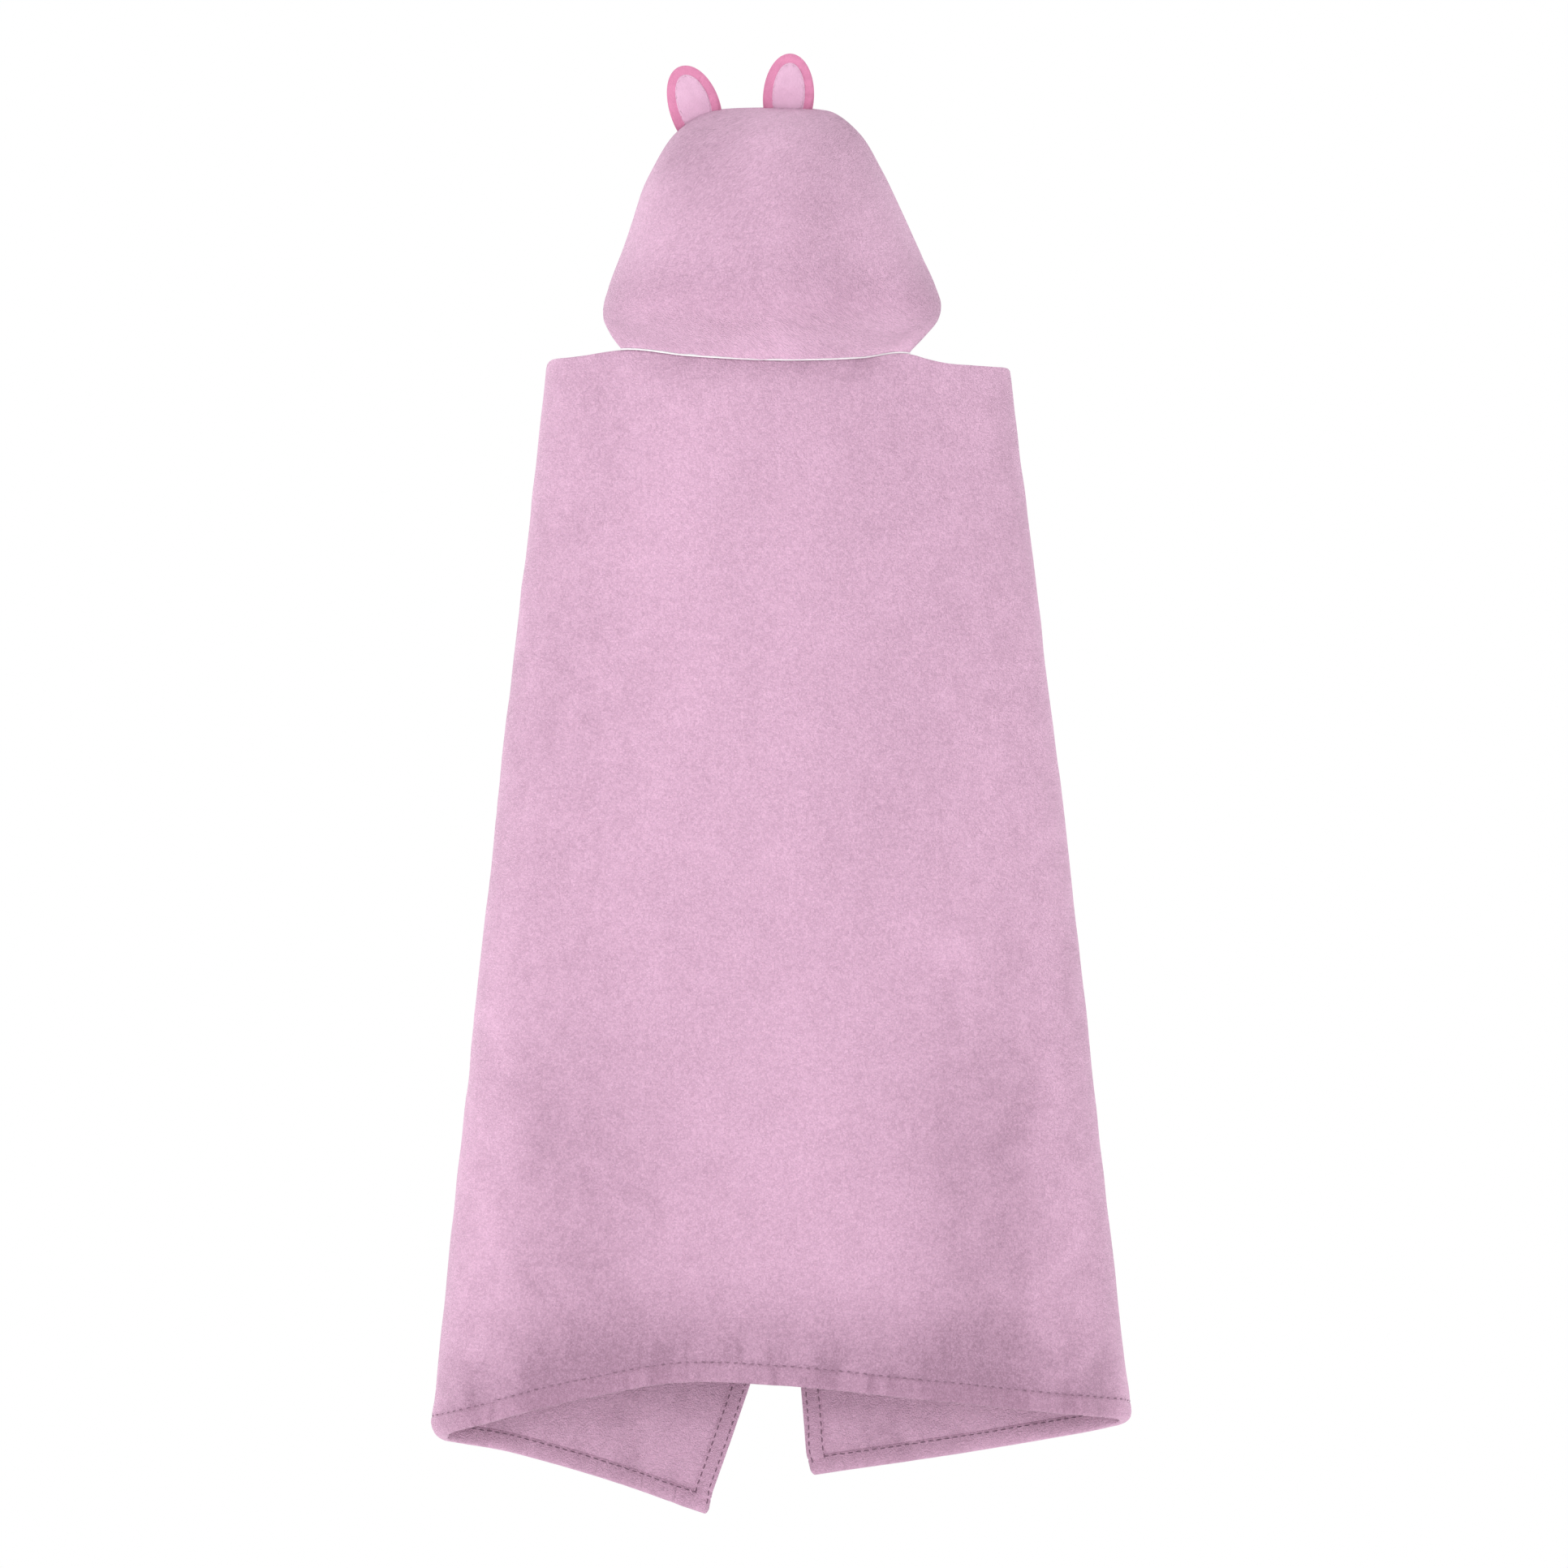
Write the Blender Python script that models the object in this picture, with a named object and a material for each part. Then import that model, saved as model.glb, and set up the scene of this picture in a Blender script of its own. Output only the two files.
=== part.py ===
"""Hooded towel for a small child, open and upright as it is worn, modelled in metres with +Z up.

The back of the towel faces -Y and the face opening faces +Y. The origin is the middle of the neck seam, where
the hood is sewn to the towel. The towel is one rectangle of terry cloth. It wraps round the wearer as a
flattened cone: the middle is the back, and each side turns round a soft fold and crosses the front as a flap.
The left flap lies outside the right one.
"""

import bisect
import math

import bmesh
import bpy
import numpy as np

# Cloth, in metres
CLOTH_LEFT = -0.639
CLOTH_RIGHT = 0.680
TERRY = 0.004
HEM_WIDTH = 0.018
HEM_LAYER = 0.0025
HEM_CLEAR = 0.0012
GAP = 0.0004
LINING_GAP = 0.0008

# The wrap: a cone whose apex is above the neck, flattened to an oval
APEX_HEIGHT = 1.94
# Each side fold: its distance out from the middle at the neck, and how much that grows per metre down
FOLD_LEFT = (0.2118, 0.1057)
FOLD_RIGHT = (0.2150, 0.1165)
OVAL_POWER = 2.3
DEPTH_TOP = 0.064
DEPTH_BOTTOM = 0.075
DEPTH_REACH = 1.0
OVERLAP_LIFT = 0.0125
NECK_LEFT = -0.1435
NECK_RIGHT = 0.1250
SEAM_GAP = 0.0016
# The front edges hang in a bow towards +X, from just above the lower hem up to the neck
EDGE_BOW = 0.043
EDGE_BOW_START = 0.022

# Distance below the neck of the cloth's upper and lower edge, at each distance across from the middle
UPPER_EDGE = (
    (-0.240, -0.0020), (-0.200, -0.0030), (-0.180, -0.0045), (-0.160, -0.0073), (-0.1435, -0.009),
    (-0.080, -0.003), (0.000, 0.001), (0.080, -0.001), (0.125, -0.005), (0.142, -0.0004),
    (0.160, 0.0030), (0.185, 0.0045), (0.250, 0.0062),
)
LOWER_EDGE = (
    (-0.640, 1.001), (-0.535, 0.9905), (-0.450, 0.987), (-0.320, 0.992), (-0.190, 0.964), (-0.090, 0.9465),
    (0.000, 0.949), (0.145, 0.963), (0.345, 0.978), (0.500, 0.970), (0.690, 0.9525),
)

# The hood's outline from behind, from the neck to the crown: half width and height
HOOD_OUTLINE = (
    (0.133, 0.006), (0.145, 0.021), (0.153, 0.036), (0.154, 0.050), (0.149, 0.067), (0.134, 0.103),
    (0.120, 0.139), (0.104, 0.175), (0.083, 0.208), (0.060, 0.2245), (0.033, 0.230), (0.000, 0.231),
)
CROWN_CORNER = 9
# Where the middle of the hood is, at each height: it leans a little towards -X
HOOD_MIDDLE = (
    (0.000, -0.0035), (0.060, -0.0024), (0.110, -0.0045), (0.190, -0.0075), (0.215, -0.0065),
    (0.231, -0.0040),
)
ARCH_BACK = 0.016
ARCH_FRONT = 0.078
ARCH_RISE = 0.055
NECK_BOW = -0.007
CROWN_BOW = 0.0065
# Depth of the hood behind the arch seam, at each height
HOOD_DEPTH = (
    (0.000, 0.016), (0.030, 0.056), (0.070, 0.086), (0.120, 0.088), (0.165, 0.076),
    (0.190, 0.062), (0.208, 0.044), (0.218, 0.024), (0.2245, 0.001),
)
VISOR_FORWARD = 0.080
VISOR_INWARD = 0.235

# Ears, in metres and degrees. A positive tilt leans the ear towards -X
EAR_HALF_WIDTH = 0.0236
EAR_HALF_HEIGHT = 0.0345
EAR_RIM = 0.0084
EAR_CLOTH = 0.0014
EAR_PUFF = 0.0042
EAR_PATCH = 0.0010
EAR_PATCH_GAP = 0.0009
EAR_TAPER = 0.018
EAR_CLEAR = 0.0022
EAR_PATCH_RISE = 0.005
EAR_SET_IN = 0.0045
EAR_LAYERS = ("back_cloth", "back_patch", "front_cloth", "front_patch", "wadding")

# Joint axes: the hood folds back about a line along X behind the neck seam, the outer flap turns about its
# side fold just outside the cloth, and an ear flops about a line a little above its base
HOOD_AXIS = (0.0, -0.0028, 0.0)
FOLD_AXIS_OUT = 0.0024
EAR_AXIS_RISE = 0.0020
EARS = {
    "left": {"centre": (-0.0762, 0.2384), "tilt": 20.0, "base": -0.0135},
    "right": {"centre": (0.0127, 0.2483), "tilt": -3.0, "base": -0.0125},
}

# Trims
PIPING_RADIUS = 0.0011
TAPE_WIDTH = 0.010
TAPE_THICKNESS = 0.001
LOOP_HALF_WIDTH = 0.026
LOOP_DROP = 0.036
LOOP_STAND_OFF = 0.0075
LABEL_WIDTH = 0.022
LABEL_LENGTH = 0.034
LABEL_AT = 0.105
LABEL_LIFT = 0.004

PINK_TERRY = ("terry", (0.70, 0.42, 0.58), 0.95)
ROSE_PLUSH = ("ear_plush", (0.80, 0.28, 0.48), 0.9)
PALE_SATIN = ("ear_inner", (0.83, 0.51, 0.70), 0.75)
WHITE_TAPE = ("tape", (0.88, 0.82, 0.86), 0.8)
WHITE_WADDING = ("wadding", (0.9, 0.9, 0.9), 1.0)


def clear_scene():
    for obj in list(bpy.data.objects):
        bpy.data.objects.remove(obj)


def value_at(knots, x):
    """Smooth curve through (x, value) knots, held level past both ends."""
    xs = [k[0] for k in knots]
    ys = [k[1] for k in knots]
    if x <= xs[0]:
        return ys[0]
    if x >= xs[-1]:
        return ys[-1]
    slopes = np.gradient(ys, xs)
    i = bisect.bisect_right(xs, x) - 1
    span = xs[i + 1] - xs[i]
    t = (x - xs[i]) / span
    return (
        (2 * t**3 - 3 * t**2 + 1) * ys[i]
        + (t**3 - 2 * t**2 + t) * span * slopes[i]
        + (3 * t**2 - 2 * t**3) * ys[i + 1]
        + (t**3 - t**2) * span * slopes[i + 1]
    )


def ease(t):
    """0 below 0, 1 above 1, and smooth in between."""
    t = min(max(t, 0.0), 1.0)
    return t * t * (3 - 2 * t)


def power(x, exponent):
    return math.copysign(abs(x) ** exponent, x)


# ---- The wrap ----

TURNS = np.linspace(0, 2 * math.pi, 1441)
SINE = np.sign(np.sin(TURNS)) * np.abs(np.sin(TURNS)) ** (2 / OVAL_POWER)
COSINE = np.sign(np.cos(TURNS)) * np.abs(np.cos(TURNS)) ** (2 / OVAL_POWER)
IN_FRONT = np.abs(TURNS - math.pi) < math.pi / 2


def half_depth(down):
    """Half the wrap's depth at a distance below the neck."""
    return DEPTH_TOP + (DEPTH_BOTTOM - DEPTH_TOP) * ease(down / DEPTH_REACH)


def oval(side, down):
    """The wrap's level outline on one side, as points from the middle of the back round to the front."""
    near, far = (FOLD_LEFT, FOLD_RIGHT) if side < 0 else (FOLD_RIGHT, FOLD_LEFT)
    depth = half_depth(down)
    lift = OVERLAP_LIFT if side < 0 else 0.0
    x = side * np.where(TURNS <= math.pi, near[0] + near[1] * down, far[0] + far[1] * down) * SINE
    y = -np.where(IN_FRONT, depth + lift, depth) * COSINE
    return x, y, np.concatenate([[0], np.cumsum(np.hypot(np.diff(x), np.diff(y)))])


def wrap_point(across, down):
    """Where the point of the cloth that is that far across, and that far below the neck, comes to lie."""
    side = -1 if across < 0 else 1
    radius = math.hypot(across, APEX_HEIGHT + down)
    arc = radius * math.atan2(abs(across), APEX_HEIGHT + down)
    below = radius
    for _ in range(3):
        x, y, length = oval(side, below - APEX_HEIGHT)
        px, py = np.interp(arc, length, x), np.interp(arc, length, y)
        below = math.sqrt(radius**2 - px**2 - py**2)
    return np.array([px, py + DEPTH_TOP, APEX_HEIGHT - below])


def wrap_normal(across, down):
    """Unit normal of the wrap there, pointing away from the wearer."""
    step = 0.001
    along = wrap_point(across + step, down) - wrap_point(across - step, down)
    below = wrap_point(across, down + step) - wrap_point(across, down - step)
    normal = np.cross(below, along)
    return normal / np.linalg.norm(normal)


def upper_edge(across):
    return value_at(UPPER_EDGE, across)


def lower_edge(across):
    return value_at(LOWER_EDGE, across)


def cloth_down(across, share):
    """Distance below the neck, at a share of the way from the cloth's upper edge to its lower edge."""
    top, bottom = upper_edge(across) + SEAM_GAP, lower_edge(across)
    return top + (bottom - top) * share


def fold_across(side, share):
    """How far across the cloth the side fold lies at a share of the way down."""
    near = FOLD_LEFT if side < 0 else FOLD_RIGHT
    across, level = 0.25, share
    for _ in range(8):
        down = cloth_down(side * across, share)
        radius = math.hypot(across, APEX_HEIGHT + down)
        level = math.sqrt(radius**2 - (near[0] + near[1] * level) ** 2) - APEX_HEIGHT
        x, _, length = oval(side, level)
        across = (APEX_HEIGHT + down) * math.tan(length[np.argmax(side * x)] / radius)
    return side * across


def edge_bow(share):
    """How far towards +X the front edges swing out at a share of the way down."""
    return EDGE_BOW * math.sin(math.pi * max(0.0, 1 - EDGE_BOW_START - share))


def spread(count, towards):
    """Shares from 0 to 1, closer together at the end or ends where the cloth turns round a fold."""
    t = np.linspace(0, 1, count)
    if towards > 0:
        return 1 - (1 - t) ** 1.7
    if towards < 0:
        return t**1.7
    return t - 0.8 * np.sin(2 * math.pi * t) / (2 * math.pi)


def resampled(grid, rows, columns, downs, parts):
    """The grid's facets at new shares of the way down and across."""
    lines = np.array([[np.interp(parts, columns, line[:, k]) for k in range(3)] for line in grid])
    points = [[np.interp(downs, rows, lines[:, k, j]) for k in range(3)] for j in range(len(parts))]
    return np.array(points).transpose(2, 0, 1)


HEIGHT = 0.97
HEM_SHARE = HEM_WIDTH / HEIGHT
HEM_PART = HEM_WIDTH / 0.36
PANEL_ROWS = np.array([0, HEM_SHARE, *np.linspace(0.09, 0.91, 10), 1 - HEM_SHARE, 1])


class Panel:
    """The towel between two lines. left and right give the distance across at a share of the way down."""

    def __init__(self, left, right, towards, columns):
        self.left = left
        self.right = right
        self.shares = spread(columns, towards)
        if towards > 0:
            self.shares = np.insert(self.shares, 1, HEM_PART)
        if towards < 0:
            self.shares = np.insert(self.shares, -1, 1 - HEM_PART)
        places = [[self.place(down, part) for part in self.shares] for down in PANEL_ROWS]
        self.middle = np.array([[wrap_point(*place) for place in line] for line in places])
        self.out = np.array([[wrap_normal(*place) for place in line] for line in places])

    def place(self, share, part):
        """Distances across and down the cloth, at shares of the way down and across the panel."""
        across = self.left(share) + (self.right(share) - self.left(share)) * part
        return across, cloth_down(across, share)

    def sheet(self, name, downs, parts, thickness, look, offset=0.0, lift=0.0):
        """Cloth along part of the panel, offset away from the wearer, and lifting off along its length."""
        grids = (self.middle, self.out)
        middle, out = (resampled(grid, PANEL_ROWS, self.shares, downs, parts) for grid in grids)
        middle = middle + out * (offset + np.linspace(0, lift, len(downs)))[:, None, None]
        solid_between(name, middle - out * thickness / 2, middle + out * thickness / 2, look)

    def part_at(self, across):
        """Share of the way across the panel's upper edge."""
        return (across - self.left(0)) / (self.right(0) - self.left(0))

    def inside(self, margin):
        """Column shares that stop short of both ends by a margin, a share of the panel's width."""
        kept = [part for part in self.shares if margin * 1.5 < part < 1 - margin * 1.5]
        return [margin] + kept + [1 - margin]


BACK = Panel(lambda s: fold_across(-1, s) + GAP, lambda s: fold_across(1, s) - GAP, 0, 29)
FLAPS = {
    "outer": Panel(lambda s: CLOTH_LEFT - edge_bow(s), lambda s: fold_across(-1, s) - GAP, 1, 15),
    "inner": Panel(lambda s: fold_across(1, s) + GAP, lambda s: CLOTH_RIGHT - edge_bow(s), -1, 15),
}


# ---- Meshes ----


def normals_of(grid):
    """Unit normal at each point of a grid, the mean of the facets round it."""
    rows, columns = grid.shape[:2]
    facet = np.cross(grid[1:, 1:] - grid[:-1, :-1], grid[1:, :-1] - grid[:-1, 1:])
    normal = np.zeros(grid.shape)
    for r in (0, 1):
        for c in (0, 1):
            normal[r:rows - 1 + r, c:columns - 1 + c] += facet
    return normal / np.linalg.norm(normal, axis=2, keepdims=True)


def material_of(look):
    name, colour, roughness = look
    made = bpy.data.materials.get(name)
    if made is None:
        made = bpy.data.materials.new(name)
        made.use_nodes = True
        shader = made.node_tree.nodes["Principled BSDF"]
        shader.inputs["Base Color"].default_value = (*colour, 1)
        shader.inputs["Roughness"].default_value = roughness
        shader.inputs["Metallic"].default_value = 0.0
    return made


def solid_between(name, low, high, look):
    """One closed solid between two grids of the same size."""
    rows, columns = low.shape[:2]
    across_sheet = (high - low)[rows // 2, columns // 2]
    if np.dot(across_sheet, normals_of(low)[rows // 2, columns // 2]) < 0:
        low, high = high, low
    mesh = bmesh.new()
    bottom, top = [[[mesh.verts.new(point) for point in line] for line in grid] for grid in (low, high)]
    for r in range(rows - 1):
        for c in range(columns - 1):
            mesh.faces.new((top[r][c], top[r][c + 1], top[r + 1][c + 1], top[r + 1][c]))
            mesh.faces.new((bottom[r][c], bottom[r + 1][c], bottom[r + 1][c + 1], bottom[r][c + 1]))
    rim = [(0, c) for c in range(columns)] + [(r, columns - 1) for r in range(1, rows)]
    rim += [(rows - 1, c) for c in range(columns - 2, -1, -1)] + [(r, 0) for r in range(rows - 2, 0, -1)]
    for (r0, c0), (r1, c1) in zip(rim, rim[1:] + rim[:1]):
        mesh.faces.new((bottom[r0][c0], bottom[r1][c1], top[r1][c1], top[r0][c0]))
    data = bpy.data.meshes.new(name)
    mesh.to_mesh(data)
    mesh.free()
    data.shade_smooth()
    data.set_sharp_from_angle(angle=math.radians(50))
    data.materials.append(material_of(look))
    made = bpy.data.objects.new(name, data)
    bpy.context.scene.collection.objects.link(made)
    return made


def sheet(name, grid, thickness, look, offset=0.0):
    """A sheet of cloth along a grid, its middle moved along the normals by offset."""
    normal = normals_of(grid)
    low, high = grid + normal * (offset - thickness / 2), grid + normal * (offset + thickness / 2)
    return solid_between(name, low, high, look)


# ---- The towel: back, flaps and hems ----

def make_panels():
    BACK.sheet("back_panel", PANEL_ROWS, BACK.shares, TERRY, PINK_TERRY)
    for name, flap in FLAPS.items():
        flap.sheet(f"front_flap_{name}", PANEL_ROWS, flap.shares, TERRY, PINK_TERRY)


def lining_offset(thickness, clearance=LINING_GAP):
    """Offset of a sheet lying against the inside of the towel."""
    return -(TERRY / 2 + clearance + thickness / 2)


def make_hems():
    """Turned-in hems on the inside of the towel. The upper and lower hems run to the corners."""
    low = np.linspace(1 - HEM_SHARE, 1 - GAP, 3)
    high = np.linspace(GAP, HEM_SHARE, 3)
    middle = [HEM_SHARE + 2 * HEM_CLEAR, *PANEL_ROWS[2:-2], 1 - HEM_SHARE - 2 * HEM_CLEAR]
    hem = (HEM_LAYER, PINK_TERRY, lining_offset(HEM_LAYER))
    BACK.sheet("hem_bottom_back", low, BACK.inside(HEM_CLEAR), *hem)
    for name, flap in FLAPS.items():
        front = np.linspace(HEM_CLEAR, HEM_PART, 3)
        if name == "inner":
            front = 1 - front[::-1]
        flap.sheet(f"hem_bottom_{name}", low, flap.inside(HEM_CLEAR), *hem)
        flap.sheet(f"hem_top_{name}", high, flap.inside(HEM_CLEAR), *hem)
        flap.sheet(f"hem_front_{name}", middle, front, *hem)
    neck = [BACK.part_at(across) for across in (NECK_LEFT, NECK_RIGHT)]
    parts = BACK.inside(HEM_CLEAR)
    left = [part for part in parts if part < neck[0] - 0.01] + [neck[0] - 0.003]
    right = [neck[1] + 0.003] + [part for part in parts if part > neck[1] + 0.01]
    BACK.sheet("hem_shoulder_left", high, left, *hem)
    BACK.sheet("hem_shoulder_right", high, right, *hem)


# ---- The neck: piping, tape, hanging loop and label ----


def make_piping():
    across = np.linspace(NECK_LEFT, NECK_RIGHT, 31)
    data = bpy.data.curves.new("neck_piping", "CURVE")
    data.dimensions = "3D"
    data.bevel_depth = PIPING_RADIUS
    data.bevel_resolution = 2
    data.use_fill_caps = True
    spline = data.splines.new("POLY")
    spline.points.add(len(across) - 1)
    for point, a in zip(spline.points, across):
        point.co = (*wrap_point(a, upper_edge(a)), 1)
    data.materials.append(material_of(WHITE_TAPE))
    bpy.context.scene.collection.objects.link(bpy.data.objects.new("neck_piping", data))


def make_neck_tape():
    ends = [BACK.part_at(across) for across in (NECK_LEFT, NECK_RIGHT)]
    parts = [ends[0]] + [part for part in BACK.shares if ends[0] + 0.01 < part < ends[1] - 0.01] + [ends[1]]
    downs = np.linspace(GAP, TAPE_WIDTH / HEIGHT, 3)
    BACK.sheet("neck_tape", downs, parts, TAPE_THICKNESS, WHITE_TAPE, lining_offset(TAPE_THICKNESS))


def make_hanging_loop():
    """A tape that leaves the neck tape, hangs in a U clear of the cloth, and comes back."""
    inner = TERRY / 2 + 2.5 * LINING_GAP + TAPE_THICKNESS
    start_z = -0.004
    rows = []
    for turn in np.linspace(0, math.pi, 25):
        x = -LOOP_HALF_WIDTH * math.cos(turn)
        drop = LOOP_DROP * math.sin(turn) ** 0.6
        stand = inner + LOOP_STAND_OFF * math.sin(turn) ** 0.7 + TAPE_THICKNESS / 2
        outward = np.array([-math.cos(turn), -math.sin(turn)])
        half = TAPE_WIDTH * 0.35
        line = []
        for side in (-1, 0, 1):
            dx, dz = outward * side * half
            line.append((x + dx, stand, start_z - drop + dz))
        rows.append(line)
    sheet("hanging_loop", np.array(rows), TAPE_THICKNESS, WHITE_TAPE)


def make_care_label():
    """A short woven tab, sewn under the neck tape on one side and hanging down."""
    ends = [BACK.part_at(LABEL_AT + side * LABEL_WIDTH / 2) for side in (-1, 1)]
    start = TAPE_WIDTH / HEIGHT + 2 * GAP
    downs = np.linspace(start, start + LABEL_LENGTH / HEIGHT, 6)
    offset = lining_offset(TAPE_THICKNESS, 2 * LINING_GAP)
    BACK.sheet("care_label", downs, np.linspace(*ends, 4), TAPE_THICKNESS, WHITE_TAPE, offset, -LABEL_LIFT)


# ---- The hood ----


def chord_places(points):
    """Each point's share of the way along the polyline."""
    steps = np.linalg.norm(np.diff(np.array(points), axis=0), axis=1)
    places = np.concatenate([[0], np.cumsum(steps)])
    return places / places[-1]


OUTLINE_PLACES = chord_places(HOOD_OUTLINE)
WIDTH_KNOTS = [(p, w) for p, (w, z) in zip(OUTLINE_PLACES, HOOD_OUTLINE)]
HEIGHT_KNOTS = [(p, z) for p, (w, z) in zip(OUTLINE_PLACES, HOOD_OUTLINE)]
BACK_REACH = OUTLINE_PLACES[CROWN_CORNER]


def outline(place):
    """Half width and height of the hood at a share of the way from the neck to the crown."""
    return value_at(WIDTH_KNOTS, place), value_at(HEIGHT_KNOTS, place)


def arch_y(height):
    """How far forward the arch seam runs at a height: back at the neck, forward from the cheeks up."""
    return ARCH_BACK + (ARCH_FRONT - ARCH_BACK) * ease(height / ARCH_RISE)


def neck_point(a):
    across = NECK_LEFT + (NECK_RIGHT - NECK_LEFT) * (a + 1) / 2
    return np.array(wrap_point(across, upper_edge(across) - SEAM_GAP))


def hood_form(a, b):
    width, height = outline(b * BACK_REACH)
    turn = a * math.pi / 2
    bow = NECK_BOW + (CROWN_BOW - NECK_BOW) * b
    depth = value_at(HOOD_DEPTH, height)
    exponent = 2 / OVAL_POWER
    return np.array([
        value_at(HOOD_MIDDLE, height) + width * power(math.sin(turn), exponent),
        arch_y(height) - depth * power(math.cos(turn), exponent),
        height + bow * (1 - a * a),
    ])


def hood_back_point(a, b):
    """The back of the hood. a runs from side to side, -1 to 1, and b from neck seam to crown, 0 to 1."""
    point = hood_form(a, b)
    pull = 1 - ease(b / 0.22)
    if pull > 0:
        point = point + (neck_point(a) - hood_form(a, 0.0)) * pull
    return point


HOOD_ROWS = np.array([*np.linspace(0, 0.85, 16), 0.895, 0.93, 0.96, 0.98, 1])
HOOD_COLUMNS = np.linspace(-1, 1, 21)
# The seam between the hood's back and front, from the left cheek over the crown to the right cheek
ARCH = [(-1, b) for b in HOOD_ROWS[3:]]
ARCH += [(a, 1) for a in HOOD_COLUMNS[1:-1]]
ARCH += [(1, b) for b in HOOD_ROWS[:2:-1]]


def make_hood_back():
    grid = np.array([[hood_back_point(a, b) for a in HOOD_COLUMNS] for b in HOOD_ROWS])
    sheet("hood_back_panel", grid, TERRY, PINK_TERRY)


def visor_point(a, b, t):
    """The front of the hood, t = 0 at the back panel's edge at (a, b) and t = 1 at the face opening."""
    place = b * BACK_REACH if abs(a) == 1 else BACK_REACH + (1 - BACK_REACH) * (1 - abs(a))
    forward = VISOR_FORWARD * ease(place / 0.45) ** 0.8
    inward = VISOR_INWARD * ease(place / 0.95)
    arch = hood_back_point(a, b)
    slope = (arch_y(arch[2] + 0.001) - arch_y(arch[2] - 0.001)) / 0.002
    arch[1] += 3 * GAP * math.hypot(1, slope)
    bulge = arch + np.array([0, 0.62 * forward, 0.0])
    face = arch * (1 - np.array([0.6, 0, 1]) * inward) + np.array([0, forward, 0])
    return arch * (1 - t) ** 2 + bulge * 2 * t * (1 - t) + face * t * t


def make_hood_front():
    """The visor, and the turned-in hem round the face opening on its inside."""
    rows = np.linspace(0, 1, 7)
    grid = np.array([[visor_point(a, b, t) for a, b in ARCH] for t in rows])
    sheet("hood_front_panel", grid, TERRY, PINK_TERRY)
    normal = normals_of(grid)
    inward = -1 if normal[3, len(ARCH) // 2][2] > 0 else 1
    grid = grid + normal * inward * (TERRY / 2 + LINING_GAP + HEM_LAYER / 2)
    hem = []
    for j in range(2, len(ARCH) - 2):
        width = np.linalg.norm(grid[-1, j] - grid[0, j])
        shares = np.linspace(1 - min(0.7, HEM_WIDTH / width), 0.99, 3)
        hem.append(np.array([np.interp(shares, rows, grid[:, j, k]) for k in range(3)]).T)
    sheet("hood_face_hem", np.array(hem).transpose(1, 0, 2), HEM_LAYER, PINK_TERRY)


# ---- The ears ----


CROWN = np.array([point for point in (hood_back_point(a, b) for a, b in ARCH) if point[2] > 0.1])


def crown_height(x):
    """Height of the seam over the hood at a distance across."""
    return np.interp(x, CROWN[:, 0], CROWN[:, 2])


def ear_place(ear, p, q):
    """World x and z of a point of the ear's own plane."""
    tilt = math.radians(ear["tilt"])
    x = ear["centre"][0] + p * math.cos(tilt) - q * math.sin(tilt)
    return x, ear["centre"][1] + p * math.sin(tilt) + q * math.cos(tilt)


def ear_base(ear, p, margin):
    """Height of the ear's base in its own plane, just clear of the hood under it."""
    q = ear["base"]
    for _ in range(5):
        x, z = ear_place(ear, p, q)
        slope = (crown_height(x + 0.002) - crown_height(x - 0.002)) / 0.004
        clear = (TERRY / 2 + EAR_CLEAR) * math.hypot(1, slope)
        q += crown_height(x) + clear - z
    return q + margin


def ear_grid(ear, margin, lift, height):
    """Points of an ear: its ellipse less a margin, down to its base. height gives the depth at (p, q)."""
    a, b = EAR_HALF_WIDTH - margin, EAR_HALF_HEIGHT - margin
    grid = []
    for t in spread(9, 1):
        level = ear["base"] + (b * 0.995 - ear["base"]) * t
        half = a * math.sqrt(1 - (level / b) ** 2)
        line = []
        for p in np.sin(np.linspace(-math.pi / 2, math.pi / 2, 9)) * half:
            q = level + (1 - t) * (ear_base(ear, p, lift) - ear["base"])
            x, z = ear_place(ear, p, q)
            line.append((x, ARCH_FRONT + height(p, q), z))
        grid.append(line)
    return np.array(grid)


def puff(ear, p, q):
    """How far the ear's cloth swells from its middle plane, thin at the rim and where it is sewn in."""
    out = min(1.0, math.hypot(p / EAR_HALF_WIDTH, q / EAR_HALF_HEIGHT))
    return EAR_PUFF * (1 - out**2.5) * (0.05 + 0.95 * ease((q - ear["base"]) / EAR_TAPER))


def make_ear(side):
    ear = EARS[side]
    cloth_middle = GAP / 2 + EAR_CLOTH / 2
    outside = cloth_middle + EAR_CLOTH / 2 + EAR_PATCH_GAP
    for face, sign in (("back", -1), ("front", 1)):
        cloth = ear_grid(ear, 0.0, 0.0, lambda p, q: sign * (cloth_middle + puff(ear, p, q)))
        half = np.array([0, EAR_CLOTH / 2, 0])
        solid_between(f"ear_{side}_{face}_cloth", cloth - half, cloth + half, ROSE_PLUSH)
        patch = ear_grid(ear, EAR_RIM, EAR_PATCH_RISE, lambda p, q: sign * (outside + puff(ear, p, q)))
        raised = patch + np.array([0, sign * EAR_PATCH, 0])
        solid_between(f"ear_{side}_{face}_patch", patch, raised, PALE_SATIN)
    faces = [
        ear_grid(ear, EAR_SET_IN, EAR_SET_IN, lambda p, q: sign * max(puff(ear, p, q) - GAP, GAP / 2))
        for sign in (-1, 1)
    ]
    solid_between(f"ear_{side}_wadding", *faces, WHITE_WADDING)


# ---- The moving pieces, each hung on an empty that lies on its joint's axis ----


def axis_empty(name, place, parent=None):
    empty = bpy.data.objects.new(name, None)
    empty.location = place
    if parent is not None:
        empty.parent = parent
        empty.location = np.array(place) - np.array(parent.location)
    bpy.context.scene.collection.objects.link(empty)
    return empty


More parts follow.
